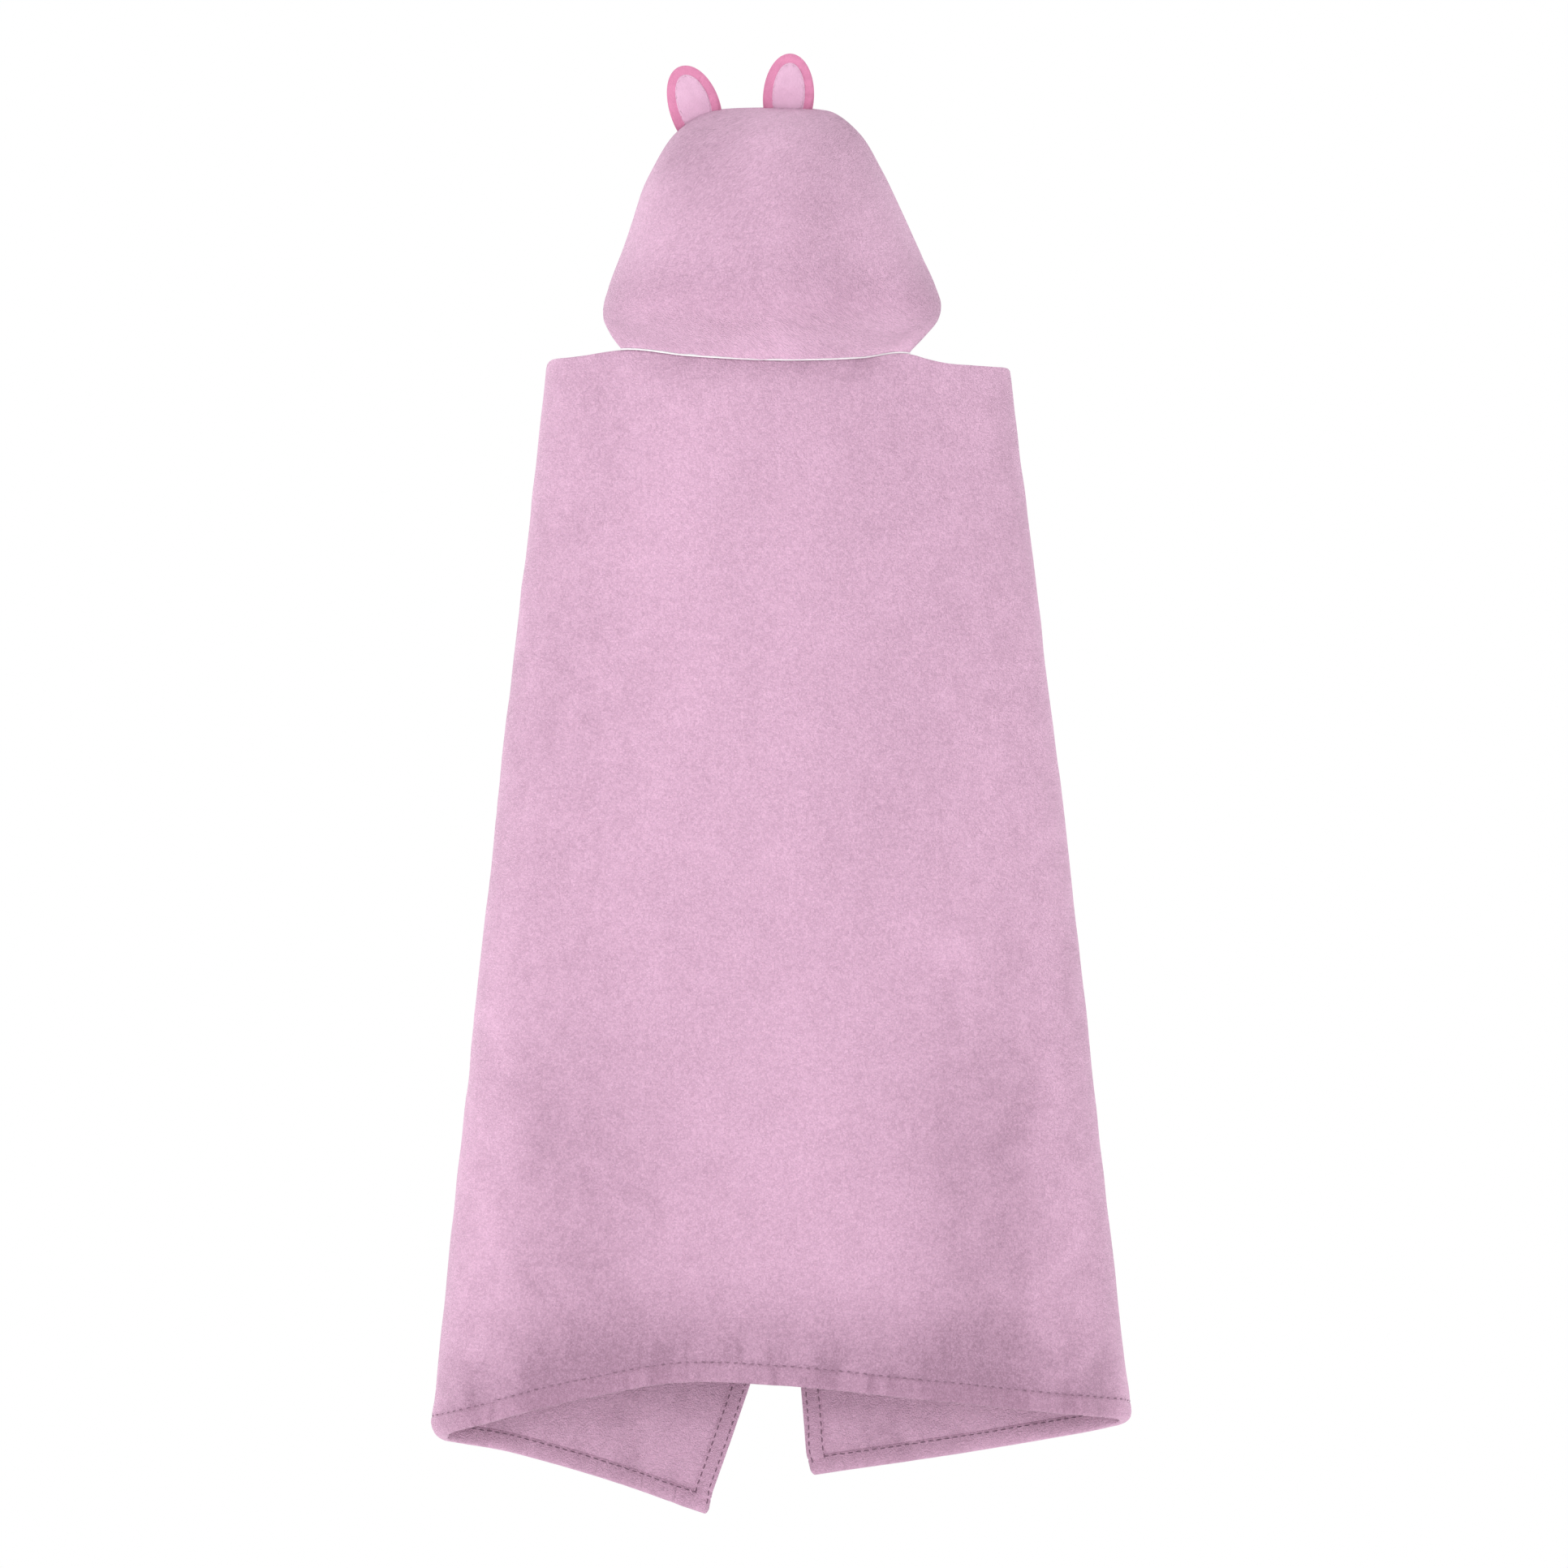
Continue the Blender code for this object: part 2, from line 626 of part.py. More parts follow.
def hang(names, empty, place):
    """Parent pieces to an empty at a place, and leave them where they are."""
    for name in names:
        made = bpy.data.objects[name]
        made.parent = empty
        made.location = -np.array(place)


def ear_axis(ear):
    """A point on the line that an ear flops about, a little above the middle of its base."""
    x, z = ear_place(ear, 0, ear_base(ear, 0, EAR_AXIS_RISE))
    return np.array([x, ARCH_FRONT, z])


def hang_moving_pieces():
    hood = axis_empty("hood_fold_axis", HOOD_AXIS)
    hang(("hood_back_panel", "hood_front_panel", "hood_face_hem"), hood, HOOD_AXIS)
    for side, ear in EARS.items():
        pieces = [f"ear_{side}_{layer}" for layer in EAR_LAYERS]
        place = ear_axis(ear)
        hang(pieces, axis_empty(f"ear_{side}_axis", place, hood), place)
    outer = [f"{piece}_outer" for piece in ("front_flap", "hem_bottom", "hem_top", "hem_front")]
    place = np.array([-FOLD_LEFT[0] - FOLD_AXIS_OUT, DEPTH_TOP, 0])
    hang(outer, axis_empty("outer_flap_axis", place), place)


def main():
    clear_scene()
    make_panels()
    make_hems()
    make_piping()
    make_neck_tape()
    make_hanging_loop()
    make_care_label()
    make_hood_back()
    make_hood_front()
    for side in EARS:
        make_ear(side)
    hang_moving_pieces()


main()
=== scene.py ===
import math

import bpy
import numpy as np
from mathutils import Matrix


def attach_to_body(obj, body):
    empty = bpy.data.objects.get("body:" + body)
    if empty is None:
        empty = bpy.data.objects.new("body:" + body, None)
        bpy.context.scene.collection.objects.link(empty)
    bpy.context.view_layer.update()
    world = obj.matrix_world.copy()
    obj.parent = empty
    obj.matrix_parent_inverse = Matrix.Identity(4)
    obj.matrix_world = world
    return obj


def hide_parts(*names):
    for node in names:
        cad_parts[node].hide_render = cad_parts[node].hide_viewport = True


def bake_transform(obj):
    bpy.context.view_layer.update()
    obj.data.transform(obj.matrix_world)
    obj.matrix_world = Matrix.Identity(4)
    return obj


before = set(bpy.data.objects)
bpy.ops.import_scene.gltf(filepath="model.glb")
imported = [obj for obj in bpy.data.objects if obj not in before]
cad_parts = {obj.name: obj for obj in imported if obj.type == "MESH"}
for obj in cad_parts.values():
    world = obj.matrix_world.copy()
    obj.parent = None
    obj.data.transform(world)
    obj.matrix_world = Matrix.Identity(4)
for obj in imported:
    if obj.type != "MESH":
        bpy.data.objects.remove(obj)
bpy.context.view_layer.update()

# The towel as the CAD makes it, in metres. The origin is the middle of the neck seam and the back faces -Y.
# A place on the cloth is given by its distance across from the middle and its share of the way down.
CLOTH_LEFT = -0.639
CLOTH_RIGHT = 0.680
TERRY = 0.004
HEM_WIDTH = 0.0185
HEM_DEPTH = 0.0033
# The wrap is a flattened cone with its apex this far above the neck. Each side fold has its half width at the
# neck's level, and what that gains for each metre further down.
APEX_HEIGHT = 1.94
FOLD_LEFT = (0.2118, 0.1057)
FOLD_RIGHT = (0.2150, 0.1165)
OVAL_POWER = 2.3
DEPTH_TOP = 0.064
DEPTH_BOTTOM = 0.075
DEPTH_REACH = 1.0
# The outer flap lies this far in front of the inner one.
OVERLAP_LIFT = 0.0125
NECK_LEFT = -0.1435
NECK_RIGHT = 0.1250
SEAM_GAP = 0.0009
# How far the front edges swing out halfway down, and the share of the height below which they don't
EDGE_BOW = 0.043
EDGE_BOW_START = 0.022
# The cloth's upper and lower edges: places across, and how far below the neck's level
UPPER_EDGE = (
    (-0.240, -0.0020), (-0.200, -0.0030), (-0.180, -0.0045), (-0.160, -0.0073), (-0.1435, -0.009),
    (-0.080, -0.003), (0.000, 0.001), (0.080, -0.001), (0.125, -0.005), (0.142, -0.0004),
    (0.160, 0.0030), (0.185, 0.0045), (0.250, 0.0062),
)
LOWER_EDGE = (
    (-0.640, 1.001), (-0.535, 0.9905), (-0.450, 0.987), (-0.320, 0.992), (-0.190, 0.964), (-0.090, 0.9465),
    (0.000, 0.949), (0.145, 0.963), (0.345, 0.978), (0.500, 0.970), (0.690, 0.9525),
)

# The hood from behind: half widths and heights, and where its middle lies at each height
HOOD_OUTLINE = (
    (0.133, 0.006), (0.145, 0.021), (0.153, 0.036), (0.154, 0.050), (0.149, 0.067), (0.134, 0.103),
    (0.120, 0.139), (0.104, 0.175), (0.083, 0.208), (0.060, 0.2245), (0.033, 0.230), (0.000, 0.231),
)
CROWN_CORNER = 9
HOOD_MIDDLE = (
    (0.000, -0.0035), (0.060, -0.0024), (0.110, -0.0045),
    (0.190, -0.0075), (0.215, -0.0065), (0.231, -0.0040),
)
# The seam over the hood: how far forward it lies at the neck and above the cheeks, the height over which it
# gets there, and the share of the outline at which it starts
ARCH_BACK = 0.016
ARCH_FRONT = 0.078
ARCH_RISE = 0.055
ARCH_START = 0.17
NECK_BOW = -0.007
CROWN_BOW = 0.0065
HOOD_DEPTH = (
    (0.000, 0.016), (0.030, 0.056), (0.070, 0.086), (0.120, 0.088), (0.165, 0.076),
    (0.190, 0.062), (0.208, 0.044), (0.218, 0.024), (0.2245, 0.001),
)
# How far the visor reaches forward of the seam, and by what share it closes in
VISOR_FORWARD = 0.080
VISOR_INWARD = 0.235
HEAD_MIDDLE = (-0.003, 0.085, 0.10)

# The ears
EAR_HALF_WIDTH = 0.0236
EAR_HALF_HEIGHT = 0.0345
EAR_BORDER = 0.0085
EAR_CLOTH = 0.0014
EAR_PUFF = 0.0042
EAR_TAPER = 0.018
WADDING_MARGIN = 0.0045
EARS = {
    "left": {"centre": (-0.0762, 0.2384), "tilt": 20.0, "base": -0.0135},
    "right": {"centre": (0.0127, 0.2483), "tilt": -3.0, "base": -0.0125},
}

# Trims
PIPING_RADIUS = 0.0009
LOOP_TAPE = 0.007
TAPE_THICKNESS = 0.0011
LOOP_HALF_WIDTH = 0.026
LOOP_DROP = 0.036
LOOP_STAND_OFF = 0.0075
LABEL_WIDTH = 0.022
LABEL_LENGTH = 0.034
LABEL_AT = 0.105
LABEL_LIFT = 0.004
STITCH_LENGTH = 0.0050
STITCH_PITCH = 0.0076
THREAD_RADIUS = 0.00055

# Where the flap's mesh ends on the back, measured along the cloth from its side fold
FLAP_MARGIN = 0.055
# How far across the back reaches, past which the cloth is a front flap, and where the hems' pieces meet
FLAPS_FROM = 0.30
BOTTOM_HEMS_MEET = 0.20
TOP_HEMS_MEET = 0.26


# ---- Curves and noise, all on arrays ----


def value_at(knots, x):
    """Smooth curve through (x, value) knots, held level past both ends."""
    xs, ys = np.array(knots, float).T
    slopes = np.gradient(ys, xs)
    x = np.clip(x, xs[0], xs[-1])
    i = np.clip(np.searchsorted(xs, x, side="right") - 1, 0, len(xs) - 2)
    span = xs[i + 1] - xs[i]
    t = (x - xs[i]) / span
    return (
        (2 * t**3 - 3 * t**2 + 1) * ys[i]
        + (t**3 - 2 * t**2 + t) * span * slopes[i]
        + (3 * t**2 - 2 * t**3) * ys[i + 1]
        + (t**3 - t**2) * span * slopes[i + 1]
    )


def ease(t):
    """0 below 0, 1 above 1, and smooth in between."""
    t = np.clip(t, 0.0, 1.0)
    return t * t * (3 - 2 * t)


def arrays(*values):
    """Copies of the values as arrays of one shape."""
    return [np.array(v, float) for v in np.broadcast_arrays(*values)]


def stacked(*values):
    """The values side by side, along a new last axis."""
    return np.stack(np.broadcast_arrays(*values), axis=-1)


def run_length(points):
    """Distance along a line of points, from its first to each of them."""
    return np.concatenate([[0], np.cumsum(np.linalg.norm(np.diff(points, axis=0), axis=1))])


def power(x, exponent):
    return np.sign(x) * np.abs(x) ** exponent


def bump(x, width):
    """1 at 0, fading to nothing over a width or two on either side."""
    return np.exp(-((x / width) ** 2))


def noise(x, y, seed):
    """Smooth noise from -1 to 1 that changes over a distance of 1."""
    lattice = np.random.default_rng(seed).uniform(-1, 1, (64, 64))
    x, y = np.broadcast_arrays(x, y)
    i, j = np.floor(x).astype(int), np.floor(y).astype(int)
    s, t = ease(x - i), ease(y - j)
    corner = [[lattice[(i + a) % 64, (j + b) % 64] for b in (0, 1)] for a in (0, 1)]
    low = corner[0][0] * (1 - s) + corner[1][0] * s
    high = corner[0][1] * (1 - s) + corner[1][1] * s
    return low * (1 - t) + high * t


def unit(vectors):
    return vectors / np.maximum(np.linalg.norm(vectors, axis=-1, keepdims=True), 1e-12)


def grid_normals(grid):
    """Unit normal at each point of a grid, the mean of the facets round it."""
    rows, columns = grid.shape[:2]
    facet = np.cross(grid[1:, 1:] - grid[:-1, :-1], grid[1:, :-1] - grid[:-1, 1:])
    normal = np.zeros(grid.shape)
    for r in (0, 1):
        for c in (0, 1):
            normal[r:rows - 1 + r, c:columns - 1 + c] += facet
    return unit(normal)


def lip(distance, radius):
    """Share of a cloth's thickness near its free edge, which is round."""
    t = np.clip(distance / radius, 0, 1)
    return np.maximum(np.sqrt(1 - (1 - t) ** 2), 0.06)


# ---- The wrap: the towel's cloth laid on a flattened cone ----

TURNS = np.linspace(0, 2 * math.pi, 1441)
SINE = power(np.sin(TURNS), 2 / OVAL_POWER)
COSINE = power(np.cos(TURNS), 2 / OVAL_POWER)
IN_FRONT = np.abs(TURNS - math.pi) < math.pi / 2
LEVELS = np.linspace(-0.06, 1.14, 61)
ARC_SHARES = np.linspace(0, 1, 2401)


def half_depth(down):
    return DEPTH_TOP + (DEPTH_BOTTOM - DEPTH_TOP) * ease(down / DEPTH_REACH)


def oval_table(side):
    """The wrap's outline on one side, at each level: its length, and its points at even shares of that."""
    near, far = (FOLD_LEFT, FOLD_RIGHT) if side < 0 else (FOLD_RIGHT, FOLD_LEFT)
    lengths, table = [], []
    for level in LEVELS:
        width = np.where(TURNS <= math.pi, near[0] + near[1] * level, far[0] + far[1] * level)
        depth = half_depth(level) + np.where(IN_FRONT, OVERLAP_LIFT if side < 0 else 0.0, 0.0)
        x, y = side * width * SINE, -depth * COSINE
        arc = np.concatenate([[0], np.cumsum(np.hypot(np.diff(x), np.diff(y)))])
        lengths.append(arc[-1])
        table.append([np.interp(ARC_SHARES * arc[-1], arc, values) for values in (x, y)])
    return np.array(lengths), np.array(table)


OVALS = {side: oval_table(side) for side in (-1, 1)}


def oval_at(side, level, arc):
    """Level place of the wrap's outline, an arc's length along it from the middle of the back."""
    lengths, table = OVALS[side]
    place = (level - LEVELS[0]) / (LEVELS[1] - LEVELS[0])
    row = np.clip(place.astype(int), 0, len(LEVELS) - 2)
    part = place - row
    along = arc / (lengths[row] * (1 - part) + lengths[row + 1] * part) * (len(ARC_SHARES) - 1)
    column = np.clip(along.astype(int), 0, len(ARC_SHARES) - 2)
    rest = along - column
    found = []
    for axis in (0, 1):
        values = table[:, axis]
        low = values[row, column] * (1 - rest) + values[row, column + 1] * rest
        high = values[row + 1, column] * (1 - rest) + values[row + 1, column + 1] * rest
        found.append(low * (1 - part) + high * part)
    return found


def wrap_point(across, down):
    """Where the wrap puts the cloth's point at a distance across from the middle and below the neck."""
    across, down = arrays(across, down)
    radius = np.hypot(across, APEX_HEIGHT + down)
    arc = radius * np.arctan2(np.abs(across), APEX_HEIGHT + down)
    point = np.zeros(across.shape + (3,))
    for side in (-1, 1):
        mine = (across < 0) == (side < 0)
        below = radius[mine]
        for _ in range(3):
            x, y = oval_at(side, below - APEX_HEIGHT, arc[mine])
            below = np.sqrt(radius[mine] ** 2 - x**2 - y**2)
        point[mine] = stacked(x, y + DEPTH_TOP, APEX_HEIGHT - below)
    return point


def upper_edge(across):
    return value_at(UPPER_EDGE, across)


def front_edge(side, share):
    """How far across a flap's front edge lies, at a share of the way down: it hangs in a bow towards +X."""
    bow = EDGE_BOW * np.sin(math.pi * np.maximum(0.0, 1 - EDGE_BOW_START - share))
    return (CLOTH_LEFT if side < 0 else CLOTH_RIGHT) - bow


def cloth_height(across):
    return value_at(LOWER_EDGE, across) - upper_edge(across) - SEAM_GAP


def cloth_down(across, share):
    """Distance below the neck, at a share of the way from the cloth's upper edge to its lower edge."""
    return upper_edge(across) + SEAM_GAP + cloth_height(across) * share


def fold_table(side):
    """How far across the cloth the side fold lies, at shares of the way down."""
    near = FOLD_LEFT if side < 0 else FOLD_RIGHT
    lengths, table = OVALS[side]
    tip = table[:, 0] * side
    fold_arcs = lengths * ARC_SHARES[np.argmax(tip, axis=1)]
    shares = np.linspace(0, 1, 25)
    across, level = np.full(25, 0.25), shares.copy()
    for _ in range(8):
        down = cloth_down(side * across, shares)
        radius = np.hypot(across, APEX_HEIGHT + down)
        level = np.sqrt(radius**2 - (near[0] + near[1] * level) ** 2) - APEX_HEIGHT
        across = (APEX_HEIGHT + down) * np.tan(np.interp(level, LEVELS, fold_arcs) / radius)
    return shares, side * across


FOLDS = {side: fold_table(side) for side in (-1, 1)}


def fold_across(side, share):
    return value_at(np.transpose(FOLDS[side]), share)


# ---- What time and washing do to the cloth: soft waves, creases, and puckers along the sewn hem ----

# Creases: across, below the neck, direction in degrees from straight down, length, width, height, in metres
CREASES = (
    (-0.245, 0.235, 4, 0.110, 0.007, 0.0021),
    (-0.262, 0.352, -3, 0.060, 0.006, 0.0016),
    (-0.268, 0.420, 62, 0.050, 0.006, -0.0015),
    (-0.272, 0.610, 58, 0.075, 0.007, 0.0021),
    (-0.245, 0.668, 64, 0.085, 0.008, -0.0020),
    (-0.285, 0.690, 40, 0.050, 0.006, 0.0016),
    (-0.270, 0.810, -8, 0.100, 0.014, 0.0020),
    (-0.165, 0.745, 52, 0.080, 0.009, 0.0015),
    (-0.120, 0.775, 58, 0.070, 0.008, -0.0014),
    (-0.270, 0.915, 66, 0.090, 0.010, 0.0024),
    (0.262, 0.395, 20, 0.050, 0.007, -0.0022),
    (0.270, 0.440, 70, 0.045, 0.006, 0.0016),
    (0.255, 0.250, -6, 0.120, 0.012, 0.0016),
    (0.180, 0.560, 30, 0.110, 0.016, 0.0015),
    (0.230, 0.700, -34, 0.120, 0.014, -0.0017),
    (0.290, 0.800, -12, 0.110, 0.010, 0.0018),
    (0.285, 0.930, -58, 0.070, 0.008, 0.0024),
    (-0.030, 0.120, 0, 0.150, 0.018, -0.0010),
    (-0.440, 0.760, 24, 0.180, 0.014, 0.0016),
    (-0.500, 0.480, -14, 0.240, 0.018, 0.0014),
    (-0.520, 0.930, 58, 0.110, 0.011, 0.0018),
    (-0.420, 0.945, 40, 0.090, 0.010, -0.0016),
    (0.520, 0.700, -22, 0.200, 0.016, 0.0014),
    (0.600, 0.860, -8, 0.150, 0.012, 0.0012),
)


def creases(across, down):
    """Ridges and furrows, each a soft bar whose ends fade."""
    raised = np.zeros(np.broadcast(across, down).shape)
    for x, z, turn, length, width, height in CREASES:
        angle = math.radians(turn)
        dx, dz = across - x, down - z
        along = dz * math.cos(angle) + dx * math.sin(angle)
        aside = dx * math.cos(angle) - dz * math.sin(angle) + 0.9 * along**2 / length
        raised += height * bump(aside, width) * bump(along, length / 2)
    return raised


def hem_puckers(across, above):
    """Short upright puckers that the hem's stitches gather, above being the distance from the edge."""
    fine = noise(across / 0.011, above / 0.06, 11) + 0.6 * noise(across / 0.0055, above / 0.03, 12)
    clusters = 0.35 + 0.65 * ease(0.5 + noise(across / 0.075, 0.3, 13))
    reach = np.where(above > HEM_WIDTH, bump(above - HEM_WIDTH, 0.020), 0.45 + 0.55 * above / HEM_WIDTH)
    return 0.0020 * fine * clusters * reach


def front_puckers(down, inside):
    """The same along the flap's front hem, inside being the distance from the edge."""
    fine = noise(down / 0.013, inside / 0.05, 14) + 0.5 * noise(down / 0.007, inside / 0.03, 15)
    reach = np.where(inside > HEM_WIDTH, bump(inside - HEM_WIDTH, 0.012), 0.4 + 0.6 * inside / HEM_WIDTH)
    return 0.0006 * fine * reach


def neck_gathers(across, down):
    """Small gathers hanging from the neck seam, and the dip into the seam."""
    on_seam = ease((across - NECK_LEFT + 0.004) / 0.012) * ease((NECK_RIGHT + 0.004 - across) / 0.012)
    below = np.maximum(down, 0)
    gathers = noise(across / 0.012, below / 0.08, 16) * bump(below - 0.008, 0.022)
    return on_seam * (0.00075 * gathers - 0.0014 * bump(below, 0.006))


def shared_folds(point):
    """Soft upright folds in front, the same for both flaps where one lies on the other."""
    x, y, z = np.moveaxis(point, -1, 0)
    front = ease((y - 0.085) / 0.035)
    folds = 0.0055 * noise(x / 0.085 + 5, z / 0.45, 7) + 0.0020 * noise(x / 0.036, z / 0.18, 8)
    return front * folds * (0.55 + 0.45 * ease(-z / 0.7))


def on_flaps(across):
    """0 on the back, 1 on the two front flaps."""
    return ease((np.abs(across) - FLAPS_FROM) / 0.06)


def wrinkles(across, share):
    """How far the cloth stands off the wrap, outward."""
    down = cloth_down(across, share)
    to_edge = (1 - share) * cloth_height(across)
    inside = np.minimum(across - front_edge(-1, share), front_edge(1, share) - across)
    waves = 0.0034 * noise(across / 0.11 + 0.8 * down, down / 0.50, 1)
    waves += 0.0014 * noise(across / 0.045, down / 0.16, 2)
    rumples = 0.00055 * noise(across / 0.018, down / 0.030, 3)
    fan = 0.0030 * noise(across / 0.036, down / 0.9, 4) * ease((down - 0.78) / 0.20)
    waves *= 1 - 0.75 * on_flaps(across)
    fan *= 1 - 0.5 * on_flaps(across)
    sewn = hem_puckers(across, to_edge) + front_puckers(down, inside) + neck_gathers(across, down)
    taut = 1 - 0.8 * sum(bump(across - fold_across(side, share), 0.030) for side in (-1, 1))
    return waves + rumples + fan + taut * creases(across, down) + sewn


# Radius of each corner of the folded towel, in metres
CORNER_RADIUS = {(-1, "top"): 0.006, (1, "top"): 0.003, (-1, "bottom"): 0.015, (1, "bottom"): 0.010}


def round_corners(point, across, share):
    """The corners of the folded towel are round: the cloth there draws in towards the middle."""
    height = cloth_height(across)
    for (side, end), radius in CORNER_RADIUS.items():
        distance = (share if end == "top" else 1 - share) * height
        rest = np.clip(radius - distance, 0, radius)
        drawn = radius - np.sqrt(radius**2 - rest**2)
        point[..., 0] -= side * drawn * bump(across - fold_across(side, share), 0.030)
    return point


def cloth_point(across, share):
    """The middle of the towel's cloth, wrinkles included."""
    across, share = arrays(across, share)
    step = 0.0015
    down = cloth_down(across, share)
    sideways = wrap_point(across + step, down) - wrap_point(across - step, down)
    below = wrap_point(across, down + step) - wrap_point(across, down - step)
    out = unit(np.cross(below, sideways))
    point = wrap_point(across, down)
    raised = wrinkles(across, share) + shared_folds(point)
    return round_corners(point + out * raised[..., None], across, share)


def cloth_frame(across, share):
    """The cloth's middle and its unit normal, pointing away from the wearer."""
    across, share = arrays(across, share)
    step = 0.0010
    sideways = cloth_point(across + step, share) - cloth_point(across - step, share)
    below = cloth_point(across, share + step) - cloth_point(across, share - step)
    return cloth_point(across, share), unit(np.cross(below, sideways))


def tone_and_painted_light_at(across, share):
    """Lightness of the cloth, 0.5 in the middle: random dye and pile variation with painted light and shade
    laid over it. Painted highlights run along both side folds; painted shade deepens towards the hem on the
    back, and painted light brightens the flaps there; the lower sides of the back are darker; painted
    shade sits in the stitch line, the creases' furrows and the hem's puckers, painted highlights on the
    creases' ridges, and a painted shadow lies under the neck seam.
    """
    down = cloth_down(across, share)
    to_edge = (1 - share) * cloth_height(across)
    fold = fold_across(-1, share)
    tone = 0.41 + 0.09 * noise(across / 0.10, down / 0.35, 21)
    tone += 0.04 * noise(across / 0.03, down / 0.05, 22)
    # Painted highlight along the left side fold.
    tone += 0.38 * bump(across - fold - 0.012, 0.034) * (0.6 + 0.4 * noise(0.3, down / 0.15, 23))
    # Painted highlight along the right side fold.
    tone += 0.16 * bump(across - fold_across(1, share), 0.035)
    behind = 1 - on_flaps(across)
    # Towards the lower edge: painted shade on the back, painted light on the front flaps.
    tone += (0.32 - 0.80 * behind) * ease((0.115 - to_edge) / 0.095)
    aside = ease((np.abs(across) - 0.08) / 0.10)
    tone -= 0.40 * aside * behind * ease((down - 0.50) / 0.25) * ease((0.262 - np.abs(across)) / 0.05)
    tone += 0.09 * aside * noise(across / 0.011, down / 0.015, 25)
    # Painted shade in the groove of the hem's stitch line.
    tone -= 0.16 * bump(to_edge - HEM_WIDTH, 0.0022)
    # Painted shade in the creases' furrows and the puckers' hollows, painted highlights on the creases'
    # ridges.
    tone += 60 * creases(across, down) - 230 * np.maximum(0, -hem_puckers(across, to_edge))
    # Painted shadow under the neck seam, where the hood's edge stands over the cloth.
    on_seam = ease((across - NECK_LEFT) / 0.05) * ease((NECK_RIGHT - across) / 0.05)
    tone -= 0.42 * on_seam * bump(down, 0.020) * (0.8 + 0.4 * noise(across / 0.02, down / 0.02, 24))
    return np.clip(tone, -0.4, 1)


# ---- Meshes ----


def add_to_scene(name, data, place=(0, 0, 0), rotation=(0, 0, 0)):
    made = bpy.data.objects.new(name, data)
    made.location, made.rotation_euler = place, rotation
    bpy.context.scene.collection.objects.link(made)
    return made


def mesh_object(name, points, faces, material, uv=None, tone=None, normals=None):
    """A smooth mesh. uv is in metres of cloth, tone is the colour's lightness, dye variation and painted
    light and shade together, both per point.
    """
    points = np.asarray(points, float)
    data = bpy.data.meshes.new(name)
    data.from_pydata(points.tolist(), [], faces if isinstance(faces, list) else faces.tolist())
    data.shade_smooth()
    corners = np.zeros(len(data.loops), int)
    data.loops.foreach_get("vertex_index", corners)
    uv = points[:, [0, 2]] if uv is None else np.asarray(uv)
    data.uv_layers.new(name="cloth").data.foreach_set("uv", uv.astype(np.float32)[corners].ravel())
    tone = np.full(len(points), 0.5) if tone is None else np.asarray(tone)
    data.attributes.new("tone", "FLOAT", "POINT").data.foreach_set("value", tone.astype(np.float32))
    if normals is not None:
        data.normals_split_custom_set_from_vertices(normals.tolist())
    data.materials.append(material)
    return add_to_scene(name, data)


def grid_faces(index, flipped):
    quads = [index[:-1, :-1], index[:-1, 1:], index[1:, 1:], index[1:, :-1]]
    faces = np.stack([q.ravel() for q in quads], axis=1)
    return faces[:, ::-1] if flipped else faces


def closed_sheet(name, outer, inner, material, uv, tone, normals=None):
    """One closed piece of cloth between two grids of the same size."""
    rows, columns = outer.shape[:2]
    count = rows * columns
    index = np.arange(count).reshape(rows, columns)
    rim = np.concatenate([index[0, :-1], index[:-1, -1], index[-1, :0:-1], index[:0:-1, 0]])
    after = np.roll(rim, -1)
    sides = np.stack([rim, rim + count, after + count, after], axis=1)
    r, c = rows // 2, columns // 2
    facet = np.cross(outer[r, c + 1] - outer[r, c], outer[r + 1, c] - outer[r, c])
    flipped = np.dot(facet, (outer - inner)[r, c]) < 0
    top, bottom = grid_faces(index, flipped), grid_faces(index + count, not flipped)
    points = np.concatenate([outer.reshape(-1, 3), inner.reshape(-1, 3)])
    faces = np.concatenate([top, bottom, sides[:, ::-1] if flipped else sides])
    uv, tone = [np.concatenate([np.reshape(a, (count, -1))] * 2) for a in (uv, tone)]
    if normals is not None:
        normals = np.concatenate([n.reshape(-1, 3) for n in normals])
    return mesh_object(name, points, faces, material, uv, tone[:, 0], normals)


def round_line(centre, first, second, radius, sides):
    """Rings round each point of a line, from first towards second, and the turn to each of their points."""
    turn = np.linspace(0, 2 * math.pi, sides, endpoint=False)
    ring = np.cos(turn)[:, None] * first[..., None, :] + np.sin(turn)[:, None] * second[..., None, :]
    return centre[..., None, :] + ring * radius[:, None, None], turn


def ring_tube(name, rings, material, uv, tone=None):
    """A closed piece through rings of points, its two ends capped."""
    count, sides = rings.shape[:2]
    index = np.arange(count * sides).reshape(count, sides)
    after = np.roll(index, -1, axis=1)
    quads = stacked(index[:-1], after[:-1], after[1:], index[1:]).reshape(-1, 4)
    caps = [index[0, ::-1], index[-1]]
    middle, ahead = rings[count // 2], rings[count // 2 + 1]
    turn = np.cross(middle[0] - middle.mean(0), middle[1] - middle.mean(0))
    if np.dot(turn, ahead.mean(0) - middle.mean(0)) < 0:
        quads, caps = quads[:, ::-1], [cap[::-1] for cap in caps]
    faces = quads.tolist() + [cap.tolist() for cap in caps]
    tone = None if tone is None else tone.ravel()
    return mesh_object(name, rings.reshape(-1, 3), faces, material, uv.reshape(-1, 2), tone)


# ---- Materials ----


